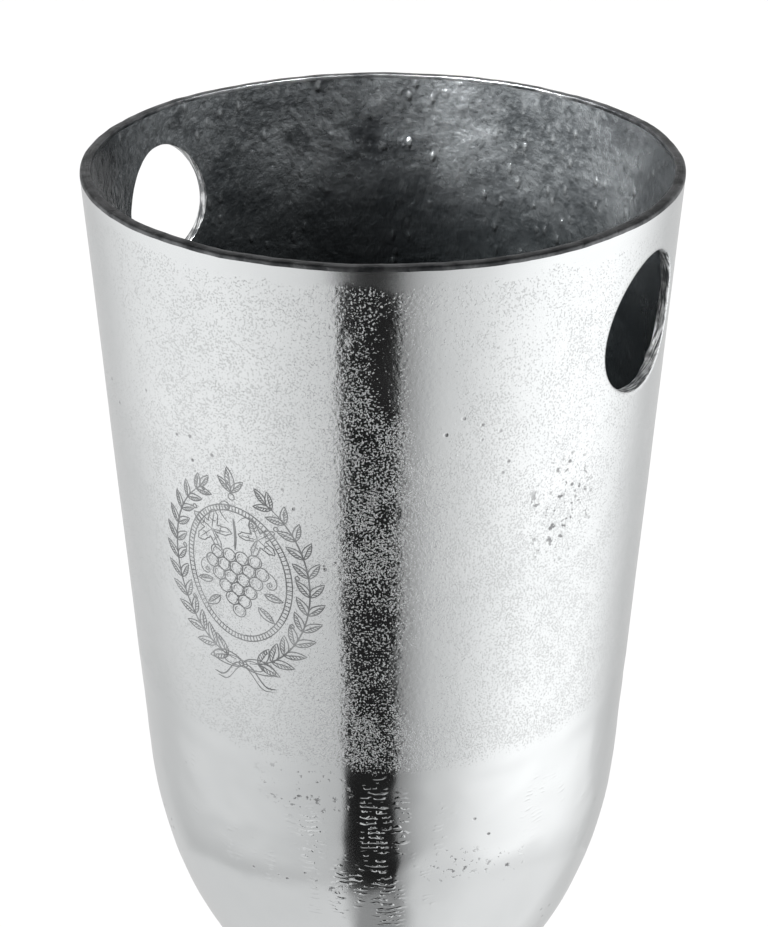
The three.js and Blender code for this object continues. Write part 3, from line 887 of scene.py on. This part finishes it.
def inside_material():
    """The inside: left as cast, wire-brushed round and darkened by the plating bath, with painted shade
    that darkens the wall towards the bowl.
    """
    graph = Graph("cast_inside")
    radius, azimuth, z = graph.polar()
    blotches = graph.noise(24, 4.0, 0.6)
    stains = graph.step(graph.cells(34), 0.14, 0.32, 1.0, 0.0)
    stains = graph.times(stains, graph.step(graph.noise(9, 1.0), 0.44, 0.54))
    brush = graph.marks(graph.combine(
        graph.times(azimuth, 11.0), graph.times(z, 520.0), graph.times(radius, 40.0),
    ), 3.0, 0.65)
    grit = graph.noise(330, 4.0, 0.6)
    beads = graph.step(graph.cells(150, graph.stretched(1.15, 1.15, 0.7)), 0.05, 0.34, 1.0, 0.0)
    beads = graph.times(beads, graph.step(graph.noise(30, 2.0), 0.42, 0.55))
    # painted shade: the wall darkens towards the bowl, which sees less of the room
    above_painted_shade = graph.step(z, RIM_Z - 0.092, RIM_Z - 0.005, 0.0, 1.0)
    colour = graph.blend(graph.step(blotches, 0.3, 0.7), (0.036, 0.040, 0.043), (0.150, 0.160, 0.166))
    colour = graph.blend(graph.step(brush, 0.35, 0.7, 0.0, 0.22), colour, (0.17, 0.18, 0.185))
    colour = graph.blend(graph.times(stains, 0.65), colour, (0.016, 0.018, 0.02))
    # grime in the hollows, and rubbed high spots and beads
    colour = graph.blend(graph.step(grit, 0.30, 0.50, 0.45, 0.0), colour, (0.010, 0.012, 0.013))
    rubbed = graph.most(graph.step(grit, 0.50, 0.74, 0.0, 0.30), graph.times(beads, 0.40))
    colour = graph.blend(rubbed, colour, (0.27, 0.28, 0.285))
    # painted shade: darker towards the bowl
    colour = graph.blend(graph.step(above_painted_shade, 0.0, 1.0, 0.90, 0.0), colour, (0.009, 0.011, 0.012))
    normal = graph.bumps((graph.noise(150, 4.0, 0.55), 1.3), (grit, 0.60), (brush, 0.13), (beads, 0.75))
    roughness = graph.step(blotches, 0.3, 0.7, 0.15, 0.30)
    return graph.finished(colour, 0.7, roughness, normal)


# ---------- ornament ----------

# A wreath of laurel round a bunch of grapes, etched into the front. Its drawing is in millimetres,
# (across, up) from its middle.
ORNAMENT_AZIMUTH = math.radians(4.6)
ORNAMENT_DEPTH = 136 * MM
LINE_WIDTH = 0.5
LINE_LIFT = 0.05 * MM
LINE_SUNK = 0.22 * MM
WREATH_HALF_WIDTH = 31
WREATH_HALF_HEIGHT = 41
LEAF_PAIRS = 12
GRAPE_RADIUS = 3.0


def on_skin(across, up, lift):
    """The point on the cup's outside at a place in the ornament's drawing."""
    depth = ORNAMENT_DEPTH - up * MM
    azimuth = ORNAMENT_AZIMUTH + across * MM / wall_radius(ORNAMENT_DEPTH)
    point = outwards(azimuth, wall_radius(depth), RIM_Z - depth)
    radial = Vector((point.x, point.y, 0)).normalized()
    return point + radial * (skin_push(point) + lift)


def heading(turn):
    """A direction in the drawing, in degrees anticlockwise from the right."""
    return Vector((math.cos(math.radians(turn)), math.sin(math.radians(turn))))


class Etching:
    """Collects lines as thin closed bars let into the skin."""

    def __init__(self):
        self.vertices = []
        self.faces = []

    def line(self, points, width=LINE_WIDTH, end=0.35):
        """One line through the points. Its ends narrow to a share of its width."""
        count = len(points)
        first = len(self.vertices)
        for index, point in enumerate(points):
            along = (points[min(index + 1, count - 1)] - points[max(index - 1, 0)]).normalized()
            from_end = min(index, count - 1 - index) / (count - 1)
            side = Vector((-along.y, along.x)) * width / 2 * min(1, end + 4 * from_end)
            for corner, lift in (
                (point + side, LINE_LIFT), (point - side, LINE_LIFT),
                (point - side, -LINE_SUNK), (point + side, -LINE_SUNK),
            ):
                self.vertices.append(on_skin(corner.x, corner.y, lift))
        for start in range(first, first + 4 * (count - 1), 4):
            for k in range(4):
                n = (k + 1) % 4
                self.faces.append((start + k, start + n, start + 4 + n, start + 4 + k))
        self.faces.append((first + 3, first + 2, first + 1, first))
        last = first + 4 * (count - 1)
        self.faces.append((last, last + 1, last + 2, last + 3))

    def arc(self, centre, half_width, half_height, start, end, steps, width=LINE_WIDTH, taper=1.0):
        points = []
        for step in range(steps + 1):
            angle = math.radians(start + (end - start) * step / steps)
            points.append(Vector((
                centre[0] + half_width * math.cos(angle), centre[1] + half_height * math.sin(angle),
            )))
        self.line(points, width, taper)

    def leaf(self, root, turn, length, width, hatched=1):
        """A pointed leaf with a rib, and short strokes on one side of it."""
        along = heading(turn)
        across = Vector((-along.y, along.x))
        bend = 0.10 * length * hatched

        def at(share, side):
            wide = width / 2 * math.sin(math.pi * share ** 0.85) ** 0.9
            return root + along * length * share + across * (side * wide + bend * share ** 2)

        shares = [step / 9 for step in range(10)]
        self.line([at(s, 1) for s in shares] + [at(s, -1) for s in shares[-2::-1]], end=1.0)
        self.line([at(s * 0.9, 0) for s in shares[::2]])
        for share in (0.22, 0.36, 0.50, 0.64, 0.76):
            hatch = [at(share, 0.1 * hatched), at(share + 0.10, 0.8 * hatched)]
            self.line(hatch, LINE_WIDTH * 0.7, 1.0)

    def vine_leaf(self, centre, turn, size):
        """A five-lobed leaf with saw-toothed edges and a vein to each lobe."""

        def at(angle, share):
            lobes = 0.70 + 0.30 * math.cos(5 * math.radians(angle))
            teeth = 0.05 * math.cos(25 * math.radians(angle))
            stalk = 0.35 * math.exp(-((abs(angle) - 180) / 22) ** 2)
            return centre + heading(turn + angle) * size * share * (lobes + teeth - stalk)

        self.line([at(angle, 1) for angle in range(-176, 177, 6)], end=1.0)
        for angle in (-144, -72, 0, 72, 144):
            self.line([centre, at(angle, 0.45), at(angle, 0.86)])
            for side in (-16, 16):
                self.line([at(angle, 0.40), at(angle + side, 0.66)], LINE_WIDTH * 0.7, 1.0)

    def tendril(self, start, turn, size, hand):
        """A curl that tightens."""
        point, points = start, [start]
        for step in range(26):
            turn += hand * (5 + step * 1.7)
            point = point + heading(turn) * size * (1 - step / 34)
            points.append(point)
        self.line(points, LINE_WIDTH * 0.85)


def draw_wreath(etching):
    for side in (-1, 1):
        def on_branch(share):
            angle = math.radians(-84 + 146 * share)
            return Vector((
                side * WREATH_HALF_WIDTH * math.cos(angle), WREATH_HALF_HEIGHT * math.sin(angle),
            ))

        etching.line([on_branch(step / 40) for step in range(41)], LINE_WIDTH * 1.3)
        for pair in range(LEAF_PAIRS):
            share = (pair + 0.6) / LEAF_PAIRS
            here, after = on_branch(share), on_branch(share + 0.02)
            turn = math.degrees(math.atan2(after.y - here.y, after.x - here.x))
            size = 10.5 - 3.0 * share
            etching.leaf(here, turn + 34, size, size * 0.38, 1)
            etching.leaf(here, turn - 34, size, size * 0.38, -1)
            if pair % 3 == 1:
                berry = here + heading(turn + 90 * side) * 4.6
                etching.arc(berry, 0.9, 0.9, 0, 360, 10)
        tip = on_branch(1.0)
        etching.leaf(tip, 90 + side * 30, 7.5, 2.8, side)
    for turn, length in ((90, 11), (128, 8), (52, 8)):
        etching.leaf(Vector((0, 38)), turn, length, length * 0.36, 1 if turn > 60 else -1)
    etching.arc((0, 36), 1.4, 1.4, 0, 360, 12)


def draw_border(etching):
    """Two ovals inside the wreath, with short ticks between them."""
    for half_width, half_height in ((24.0, 31.0), (21.6, 28.6)):
        etching.arc((0, 1), half_width, half_height, 0, 360, 72)
    for tick in range(96):
        angle = 2 * math.pi * tick / 96
        inner = Vector((21.9 * math.cos(angle), 1 + 28.9 * math.sin(angle)))
        outer = Vector((23.7 * math.cos(angle), 1 + 30.7 * math.sin(angle)))
        etching.line([inner, (inner + outer) / 2, outer], LINE_WIDTH * 0.7, 1.0)


def draw_bow(etching):
    knot = Vector((0, -42))
    etching.arc(knot, 2.0, 1.6, 0, 360, 14)
    for side in (-1, 1):
        loop = []
        for turn in (2 * math.pi * step / 24 for step in range(25)):
            across = side * (7.5 - 7.5 * math.cos(turn))
            up = 3.4 * math.sin(turn) * (1 + 0.2 * math.sin(turn))
            loop.append(knot + Vector((across, up)))
        etching.line(loop, end=1.0)
        inner = [knot + (point - knot) * 0.62 for point in loop]
        etching.line(inner, LINE_WIDTH * 0.7, 1.0)
        tail = [
            knot + Vector((side * 15 * share, -9.5 * share + 1.8 * math.sin(share * 7)))
            for share in (step / 14 for step in range(15))
        ]
        etching.line(tail, LINE_WIDTH * 1.2)
        etching.line([point + Vector((side * -1.6, -1.6)) for point in tail[1:]], LINE_WIDTH * 0.8)


def draw_grapes(etching):
    rows = ((9, 4), (4, 5), (-1, 4), (-6, 3), (-11, 2), (-16, 1))
    for up, count in rows:
        for index in range(count):
            across = (index - (count - 1) / 2) * 5.7
            etching.arc((across, up), GRAPE_RADIUS, GRAPE_RADIUS, 0, 360, 18)
            etching.arc((across, up), 1.9, 1.9, 110, 200, 5, LINE_WIDTH * 0.7, 0.5)
            etching.arc((across, up), 2.2, 2.2, -70, 20, 5, LINE_WIDTH * 0.7, 0.5)
    stem = [Vector((0.6 * math.sin(step / 3), 12 + step * 1.6)) for step in range(10)]
    etching.line(stem, LINE_WIDTH * 2.2)
    etching.vine_leaf(Vector((-10.5, 18.5)), 150, 9.5)
    etching.vine_leaf(Vector((10.5, 19.5)), 35, 8.5)
    etching.tendril(Vector((-2, 24)), 150, 1.35, -1)
    etching.tendril(Vector((2, 25)), 60, 1.2, -1)
    etching.tendril(Vector((13, 6)), -20, 1.25, -1)
    etching.tendril(Vector((-13, 5)), 200, 1.25, 1)
    for side in (-1, 1):
        etching.leaf(Vector((side * 9, -12)), -90 + side * 42, 9, 3.6, side)
        etching.leaf(Vector((side * 12, -5)), -90 + side * 70, 8, 3.2, side)


def etched_material():
    """The lines' floor: matt, and darker than the polish round it."""
    graph = Graph("etched_nickel")
    grain = graph.noise(1400, 2.0)
    wear = graph.step(graph.noise(70, 3.0), 0.35, 0.68)
    colour = graph.blend(wear, (0.26, 0.265, 0.27), (0.44, 0.45, 0.455))
    normal = graph.bumps((grain, 0.04))
    roughness = graph.step(grain, 0.3, 0.7, 0.45, 0.62)
    return graph.finished(colour, 1.0, roughness, normal)


def make_ornament():
    etching = Etching()
    draw_wreath(etching)
    draw_border(etching)
    draw_bow(etching)
    draw_grapes(etching)
    thing = new_object("etched_ornament", etching.vertices, etching.faces, smooth=False)
    clean_up(thing)
    thing.data.materials.append(etched_material())
    place_piece(thing, "nickel_cast")


# ---------- turned pieces ----------

TURN_SEGMENTS = 160
SMALL_SEGMENTS = 72
FINE = 0.25 * MM  # a broken edge


def hex_reach(turn, flats):
    """How far a hexagon reaches from its middle in a direction. Its corners are on the Y axis."""
    sixth = math.pi / 3
    return flats / 2 / math.cos((turn + sixth / 2) % sixth - sixth / 2)


def surface(rows, segments, x=0.0, y=0.0):
    """Vertices and faces of a closed surface through rows of (radius, z) or (radius, z, width across
    flats), which go up the outside and, unless they start on the axis, back down a bore."""
    vertices, rings, faces = [], [], []
    for radius, z, *flats in rows:
        first = len(vertices)
        if radius == 0:
            rings.append([first] * segments)
            vertices.append((x, y, z))
            continue
        rings.append(list(range(first, first + segments)))
        for step in range(segments):
            turn = 2 * math.pi * step / segments
            reach = min(radius, hex_reach(turn, flats[0])) if flats else radius
            vertices.append((x + reach * math.cos(turn), y + reach * math.sin(turn), z))
    following = rings[1:] + (rings[:1] if rows[0][0] > 0 else [])
    for low, high in zip(rings, following):
        for k in range(segments):
            n = (k + 1) % segments
            faces.append(tuple(dict.fromkeys((low[k], low[n], high[n], high[k]))))
    return vertices, faces


def turned(name, surfaces, material, slot, node, sharp=32):
    """One piece made of closed surfaces. Edges over an angle in degrees stay crisp."""
    vertices, faces = [], []
    for more_vertices, more_faces in surfaces:
        first = len(vertices)
        vertices.extend(more_vertices)
        faces.extend(tuple(index + first for index in face) for face in more_faces)
    thing = new_object(name, vertices, faces)
    clean_up(thing)
    thing.data.set_sharp_from_angle(angle=math.radians(sharp))
    thing.data.materials.append(material)
    place_piece(thing, slot, node)


def oval(radius, z, half_width, half_height, start, end, steps):
    """Rows on an ellipse about (radius, z), between two angles in degrees."""
    rows = []
    for step in range(steps + 1):
        angle = math.radians(start + (end - start) * step / steps)
        rows.append((radius + half_width * math.cos(angle), z + half_height * math.sin(angle)))
    return rows


def bezier(start, start_handle, end_handle, end, steps):
    """Rows on a cubic Bezier curve."""
    rows = []
    for step in range(steps + 1):
        t = step / steps
        weights = ((1 - t) ** 3, 3 * t * (1 - t) ** 2, 3 * t ** 2 * (1 - t), t ** 3)
        points = (start, start_handle, end_handle, end)
        rows.append(tuple(sum(w * p[axis] for w, p in zip(weights, points)) for axis in (0, 1)))
    return rows


def heights(node):
    low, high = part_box(node)
    return low.z, high.z


def collar_rows(node):
    """A half-round bead between two small flats, with a fine groove on each side of it."""
    bottom, top = heights(node)
    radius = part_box(node)[1].x
    flat = radius - 3 * MM
    middle = (bottom + top) / 2
    bead = oval(flat, middle, radius - flat, (top - bottom) / 2 - 1.9 * MM, -90, 90, 24)
    rows = [(ROD_BORE, bottom), (flat - FINE, bottom), (flat, bottom + FINE), (flat, bottom + 1.2 * MM)]
    rows += [(flat - 0.6 * MM, bottom + 1.5 * MM), (flat - 0.5 * MM, bottom + 1.85 * MM)]
    rows += bead
    rows += [(flat - 0.5 * MM, top - 1.85 * MM), (flat - 0.6 * MM, top - 1.5 * MM)]
    rows += [(flat, top - 1.2 * MM), (flat, top - FINE), (flat - FINE, top), (ROD_BORE, top)]
    return rows


def upper_stem_rows():
    bottom, top = heights("upper_stem")
    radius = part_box("upper_stem")[1].x
    height = top - bottom
    foot = WAIST_RADIUS + 2 * MM
    rows = [(ROD_BORE, bottom), (foot - FINE, bottom)]
    rows += oval(foot - FINE, bottom + 1.2 * MM, FINE, 0.9 * MM, -90, 60, 8)
    rows += bezier(
        (WAIST_RADIUS, bottom + 3 * MM), (WAIST_RADIUS - 1 * MM, bottom + height * 0.5),
        (radius - 6 * MM, top - height * 0.3), (radius, top - 3 * MM), 40,
    )
    rows += [(radius, top - FINE), (radius - FINE, top), (ROD_BORE, top)]
    return rows


def lower_stem_rows():
    bottom, top = heights("lower_stem")
    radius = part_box("lower_stem")[1].x
    height = top - bottom
    head = WAIST_RADIUS + 2 * MM
    rows = [(ROD_BORE, bottom), (radius - FINE, bottom)]
    rows += [(radius, bottom + FINE), (radius, bottom + 3.2 * MM)]
    rows += bezier(
        (radius - 0.8 * MM, bottom + 4 * MM), (radius - 10 * MM, bottom + height * 0.22),
        (WAIST_RADIUS - 1 * MM, bottom + height * 0.5), (WAIST_RADIUS, top - 3 * MM), 56,
    )
    rows += oval(head - FINE, top - 1.2 * MM, FINE, 0.9 * MM, -60, 90, 8) + [(ROD_BORE, top)]
    return rows


def knop_rows():
    bottom, top = heights("knop")
    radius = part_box("knop")[1].x
    middle = (bottom + top) / 2
    neck = WAIST_RADIUS + 4 * MM
    ball = oval(0, middle, radius, (top - bottom) / 2 - 2.5 * MM, -56, 56, 36)
    fillet = [(neck, bottom + 1.6 * MM), (neck - 0.3 * MM, bottom + 2.2 * MM)]
    rows = [(ROD_BORE, bottom), (neck - FINE, bottom), (neck, bottom + FINE)] + fillet + ball
    rows += [(neck - 0.3 * MM, top - 2.2 * MM), (neck, top - 1.6 * MM), (neck, top - FINE)]
    rows += [(neck - FINE, top), (ROD_BORE, top)]
    return rows


def base_rows():
    """The foot: a rolled plinth edge, a dome, a hollow neck, and the ribless inside with its boss."""
    plinth_top = BASE_BOTTOM + PLINTH_HEIGHT
    neck_height = BASE_TOP - plinth_top - DOME_HEIGHT
    dome_width = DOME_RADIUS - DOME_INSET
    neck_width = DOME_INSET - NECK_RADIUS
    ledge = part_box("cover_plate")[1].z + 0.1 * MM
    round_edge = 3 * MM
    edge = BASE_RADIUS - round_edge
    rows = [(DOME_RADIUS, BASE_BOTTOM)]
    rows += oval(edge, BASE_BOTTOM + round_edge, round_edge, round_edge, -90, 0, 10)
    rows += oval(edge, plinth_top - round_edge, round_edge, round_edge, 0, 90, 10)
    rows += [(DOME_RADIUS + 1.2 * MM, plinth_top), (DOME_RADIUS + 0.4 * MM, plinth_top - 0.5 * MM)]
    rows += oval(DOME_INSET, plinth_top, dome_width, DOME_HEIGHT, 0, 90, 40)
    rows += oval(DOME_INSET, BASE_TOP, neck_width, neck_height, -90, -180, 28)[1:]
    rows += [(NECK_RADIUS - FINE, BASE_TOP), (ROD_BORE, BASE_TOP)]
    rows += [(ROD_BORE, BASE_BOSS_BOTTOM), (NECK_RADIUS, BASE_BOSS_BOTTOM)]
    rows += [(NECK_RADIUS, plinth_top + DOME_HEIGHT - BASE_WALL)]
    inner = oval(DOME_INSET, plinth_top, dome_width - BASE_WALL, DOME_HEIGHT - BASE_WALL, 90, 0, 14)
    return rows + inner + [(DOME_RADIUS - BASE_WALL, ledge), (DOME_RADIUS, ledge)]


def feet():
    """The feet's middles, as (x, y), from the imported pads."""
    middles = []
    for index in range(1, 5):
        low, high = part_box(f"foot_pad_{index}")
        middles.append(((low.x + high.x) / 2, (low.y + high.y) / 2))
    return middles


def make_pedestal():
    nickel = polished_material()
    for node, rows in (
        ("neck_collar", collar_rows("neck_collar")), ("upper_stem", upper_stem_rows()),
        ("knop", knop_rows()), ("lower_stem", lower_stem_rows()),
        ("foot_collar", collar_rows("foot_collar")),
    ):
        turned(f"turned_{node}", [surface(rows, TURN_SEGMENTS)], nickel, "nickel_polished", node)
    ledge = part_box("cover_plate")[1].z + 0.1 * MM
    lug = [(2.2 * MM, ledge), (LUG_RADIUS - 0.5 * MM, ledge), (LUG_RADIUS, ledge + 0.5 * MM),
           (LUG_RADIUS, LUG_TOP), (2.2 * MM, LUG_TOP)]
    lugs = [surface(lug, 32, x, y) for x, y in feet()]
    turned("base_casting", [surface(base_rows(), 240)] + lugs, foot_material(), "nickel_cast", "base")


def disc_rows(node, bore, edge=0.2 * MM):
    """A flat ring with broken edges, from its node's box."""
    bottom, top = heights(node)
    low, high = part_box(node)
    radius = (high.x - low.x) / 2
    nick = edge * 0.3
    return [
        (bore, bottom + edge), (bore + edge, bottom), (radius - edge, bottom),
        (radius - nick, bottom + nick), (radius, bottom + edge), (radius, top - edge),
        (radius - nick, top - nick), (radius - edge, top), (bore + edge, top), (bore, top - edge),
    ]


def dome_nut_rows():
    """A cap nut: a chamfered hexagon under a dome, bored blind from below."""
    bottom, top = heights("dome_nut")
    flats = 17 * MM
    corner = flats / math.sqrt(3)
    shoulder = bottom + 8 * MM
    dome = flats / 2 - 0.4 * MM
    bore = 5.25 * MM
    rows = [
        (bore, bottom), (flats / 2 - 0.3 * MM, bottom),
        (flats / 2 + 0.2 * MM, bottom + 0.3 * MM, flats),
        (corner, bottom + 1.1 * MM, flats), (corner, shoulder - 1.4 * MM, flats),
        (flats / 2 + 0.5 * MM, shoulder - 0.5 * MM, flats), (flats / 2 - 0.1 * MM, shoulder),
    ]
    rows += oval(0, shoulder, dome, top - shoulder, 4, 88, 20)
    rows += [(0, top)]
    inside = [(0, bottom + 11 * MM), (bore * 0.7, bottom + 11 * MM), (bore, bottom + 9.5 * MM)]
    return rows, inside


def blind_surface(rows, inside, segments):
    """A surface closed over the top, with a blind bore from below."""
    outer_vertices, outer_faces = surface(rows[1:], segments)
    outer_faces = outer_faces[:-segments] if rows[1][0] > 0 else outer_faces
    bore_rows = inside + [rows[0]]
    bore_vertices, bore_faces = surface(bore_rows, segments)
    first = len(outer_vertices)
    faces = outer_faces + [tuple(index + first for index in face) for face in bore_faces]
    lip = first + 1 + segments * (len(bore_rows) - 2)
    for k in range(segments):
        n = (k + 1) % segments
        faces.append((lip + k, lip + n, n, k))
    return outer_vertices + bore_vertices, faces


def screw_rows():
    """A pan-head screw seen from below: a hexagon socket in a domed head, and the shank above."""
    bottom, top = heights("foot_screw_1")
    head, shank, seat = 4.2 * MM, 1.8 * MM, bottom + 1.4 * MM
    socket = 2.5 * MM
    rows = [
        (0, bottom + 1.0 * MM), (socket, bottom + 1.0 * MM, socket),
        (socket, bottom + 0.1 * MM, socket), (socket * 0.62, bottom, socket * 1.12),
        (2.2 * MM, bottom),
    ]
    rows += oval(head - 0.9 * MM, bottom + 0.8 * MM, 0.9 * MM, 0.8 * MM, -80, 0, 8)
    rows += [(head, seat - 0.1 * MM), (head - 0.1 * MM, seat), (shank, seat)]
    pitch = 0.7 * MM
    z = seat + 0.6 * MM
    while z < top - 1.6 * MM:
        rows += [(shank * 0.80, z), (shank, z + pitch / 2)]
        z += pitch
    return rows + [(shank * 0.8, top - 1.2 * MM), (0, top)]


def pad_rows():
    bottom, top = heights("foot_pad_1")
    low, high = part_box("foot_pad_1")
    radius = (high.x - low.x) / 2
    well = 5 * MM
    bend = 1.2 * MM
    rows = [(well, bottom + 0.2 * MM), (well + 0.2 * MM, bottom), (radius - bend, bottom)]
    rows += oval(radius - bend, bottom + bend, bend, bend, -80, 0, 8)
    rows += [(radius, top - 0.4 * MM), (radius - 0.4 * MM, top)]
    return rows + [(2.5 * MM, top), (2.5 * MM, bottom + 2.5 * MM), (well, bottom + 2.5 * MM)]


def make_fasteners():
    steel = steel_material()
    rubber = rubber_material()
    nut = blind_surface(*dome_nut_rows(), SMALL_SEGMENTS)
    turned("dome_cap_nut", [nut], steel, "steel", "dome_nut")
    for node, bore, material, slot in (
        ("bucket_washer", ROD_BORE, steel, "steel"), ("clamp_washer", ROD_BORE, steel, "steel"),
        ("seal_washer", ROD_BORE, rubber, "rubber"), ("bucket_gasket", ROD_BORE, rubber, "rubber"),
    ):
        turned(f"flat_{node}", [surface(disc_rows(node, bore), SMALL_SEGMENTS)], material, slot, node)
    for index, (x, y) in enumerate(feet(), 1):
        pad = surface(pad_rows(), SMALL_SEGMENTS, x, y)
        turned(f"rubber_foot_{index}", [pad], rubber, "rubber", f"foot_pad_{index}")
        screw = surface(screw_rows(), 48, x, y)
        turned(f"socket_screw_{index}", [screw], steel, "steel", f"foot_screw_{index}")


# ---------- metals of the pedestal, steel, iron, paint and rubber ----------


def polished_material():
    """Turned and polished nickel: fine rings round the piece, a few scratches, and soft wear."""
    graph = Graph("nickel_turned")
    radius, azimuth, z = graph.polar()
    rings = graph.marks(graph.combine(
        graph.times(azimuth, 0.7), graph.times(z, 2600.0), graph.times(radius, 2600.0),
    ))
    scratches = graph.step(graph.marks(graph.stretched(60, 900, 240), 2.0, 0.5), 0.68, 0.74, 0.0, -1.0)
    pits = graph.step(graph.cells(210), 0.04, 0.12, -1.0, 0.0)
    pits = graph.times(pits, graph.step(graph.noise(25, 1.0), 0.55, 0.62))
    normal = graph.bumps((rings, 0.006), (graph.noise(45, 2.0), 0.10), (scratches, 0.01), (pits, 0.12))
    tone = graph.step(graph.noise(14, 4.0, 0.6), 0.3, 0.7)
    colour = graph.blend(tone, (0.75, 0.765, 0.77), (0.81, 0.822, 0.825))
    roughness = graph.step(graph.noise(38, 3.0), 0.3, 0.7, 0.07, 0.14)
    return graph.finished(colour, 1.0, roughness, normal)


def foot_material():
    """The foot's casting: the cup's sand texture in patches on the dome, and ground smooth at the
    plinth and the neck. Its underside is left as cast."""
    graph = Graph("nickel_foot")
    radius, azimuth, z = graph.polar()
    wander = graph.times(graph.add(graph.noise(40, 3.0), -0.5), 10 * MM)
    reach = graph.add(radius, wander)
    inside_plinth = graph.step(reach, 126 * MM, 132 * MM, 1.0, 0.0)
    dome = graph.times(graph.step(reach, 62 * MM, 72 * MM), inside_plinth)
    patches = graph.step(graph.noise(17, 3.0, 0.6), 0.40, 0.62)
    density = graph.times(dome, patches)
    grain = graph.noise(760, 1.6, 0.55, distortion=0.25)
    threshold = graph.maths("MULTIPLY_ADD", density, -0.20, 0.68)
    specks = graph.times(graph.step(grain, threshold, graph.add(threshold, 0.16)), dome)
    rings = graph.marks(graph.combine(
        graph.times(azimuth, 0.7), graph.times(z, 2400.0), graph.times(radius, 2400.0),
    ))
    normal = graph.bumps(
        (specks, 0.10), (graph.times(graph.noise(300, 2.0), density), 0.08), (rings, 0.006),
        (graph.noise(40, 2.0), 0.14),
    )
    colour = cast_nickel_colour(graph, specks)
    polished = graph.step(graph.noise(30, 3.0), 0.3, 0.7, 0.08, 0.15)
    roughness = graph.maths("MULTIPLY_ADD", specks, 0.10, polished)
    return graph.finished(colour, 1.0, roughness, normal)


def steel_material():
    """Plain stainless steel with fine machining marks."""
    graph = Graph("stainless_steel")
    marks = graph.marks(graph.stretched(500, 500, 3200))
    smudges = graph.noise(120, 3.0)
    normal = graph.bumps((marks, 0.012), (smudges, 0.03))
    colour = graph.blend(graph.step(smudges, 0.3, 0.7), (0.52, 0.53, 0.54), (0.66, 0.67, 0.68))
    return graph.finished(colour, 1.0, graph.step(marks, 0.3, 0.7, 0.22, 0.36), normal)


def threaded_material():
    """The tie rod's steel, with the thread's helix."""
    graph = Graph("threaded_steel")
    _, azimuth, z = graph.polar()
    pitch = 1.5 * MM
    helix = graph.maths("SINE", graph.add(graph.times(z, 2 * math.pi / pitch), azimuth))
    grime = graph.noise(300, 3.0)
    normal = graph.bumps((helix, 0.25), (grime, 0.02))
    colour = graph.blend(graph.step(helix, -0.9, -0.1), (0.22, 0.22, 0.225), (0.60, 0.61, 0.62))
    return graph.finished(colour, 1.0, graph.step(grime, 0.3, 0.7, 0.28, 0.45), normal)


def iron_material():
    """Raw cast iron: sand-grained, with brown rust in the hollows."""
    graph = Graph("raw_iron")
    sand = graph.noise(420, 3.0, 0.6)
    rust = graph.step(graph.noise(40, 4.0, 0.6), 0.52, 0.68)
    normal = graph.bumps((sand, 0.25), (graph.noise(60, 2.0), 0.4))
    colour = graph.blend(rust, (0.085, 0.085, 0.088), (0.15, 0.075, 0.045))
    roughness = graph.step(rust, 0.0, 1.0, 0.55, 0.85)
    return graph.finished(colour, 0.7, roughness, normal)


def powder_coat_material():
    """Black powder coat with a fine orange peel, scuffed where it has been set down."""
    graph = Graph("black_powder_coat")
    peel = graph.noise(950, 2.0)
    scuffs = graph.step(graph.marks(graph.stretched(30, 240, 100), 3.0, 0.5), 0.60, 0.70)
    normal = graph.bumps((peel, 0.05))
    colour = graph.blend(graph.times(scuffs, 0.5), (0.030, 0.030, 0.032), (0.09, 0.09, 0.092))
    roughness = graph.step(peel, 0.3, 0.7, 0.42, 0.58)
    return graph.finished(colour, 0.0, roughness, normal)


def rubber_material():
    """Black moulded rubber: matt, faintly mottled, with dust in the texture."""
    graph = Graph("moulded_rubber")
    texture = graph.noise(1100, 2.0)
    dust = graph.step(graph.noise(90, 4.0, 0.6), 0.50, 0.75)
    normal = graph.bumps((texture, 0.04))
    colour = graph.blend(graph.times(dust, 0.4), (0.022, 0.022, 0.023), (0.075, 0.073, 0.07))
    roughness = graph.step(texture, 0.3, 0.7, 0.70, 0.88)
    return graph.finished(colour, 0.0, roughness, normal)


def finish_carried_nodes():
    """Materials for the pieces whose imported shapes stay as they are. Of these only the cover plate
    shows, from below."""
    steel = steel_material()
    finishes = {
        "bucket_dowel": steel, "foot_dowel": steel, "spring_washer": steel, "rod_nut": steel,
        "tie_rod": threaded_material(), "ballast_plate": iron_material(),
        "cover_plate": powder_coat_material(),
    }
    for node, material in finishes.items():
        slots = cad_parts[node].material_slots
        for slot in slots:
            slot.material = material


make_bucket()
make_ornament()
make_pedestal()
make_fasteners()
finish_carried_nodes()
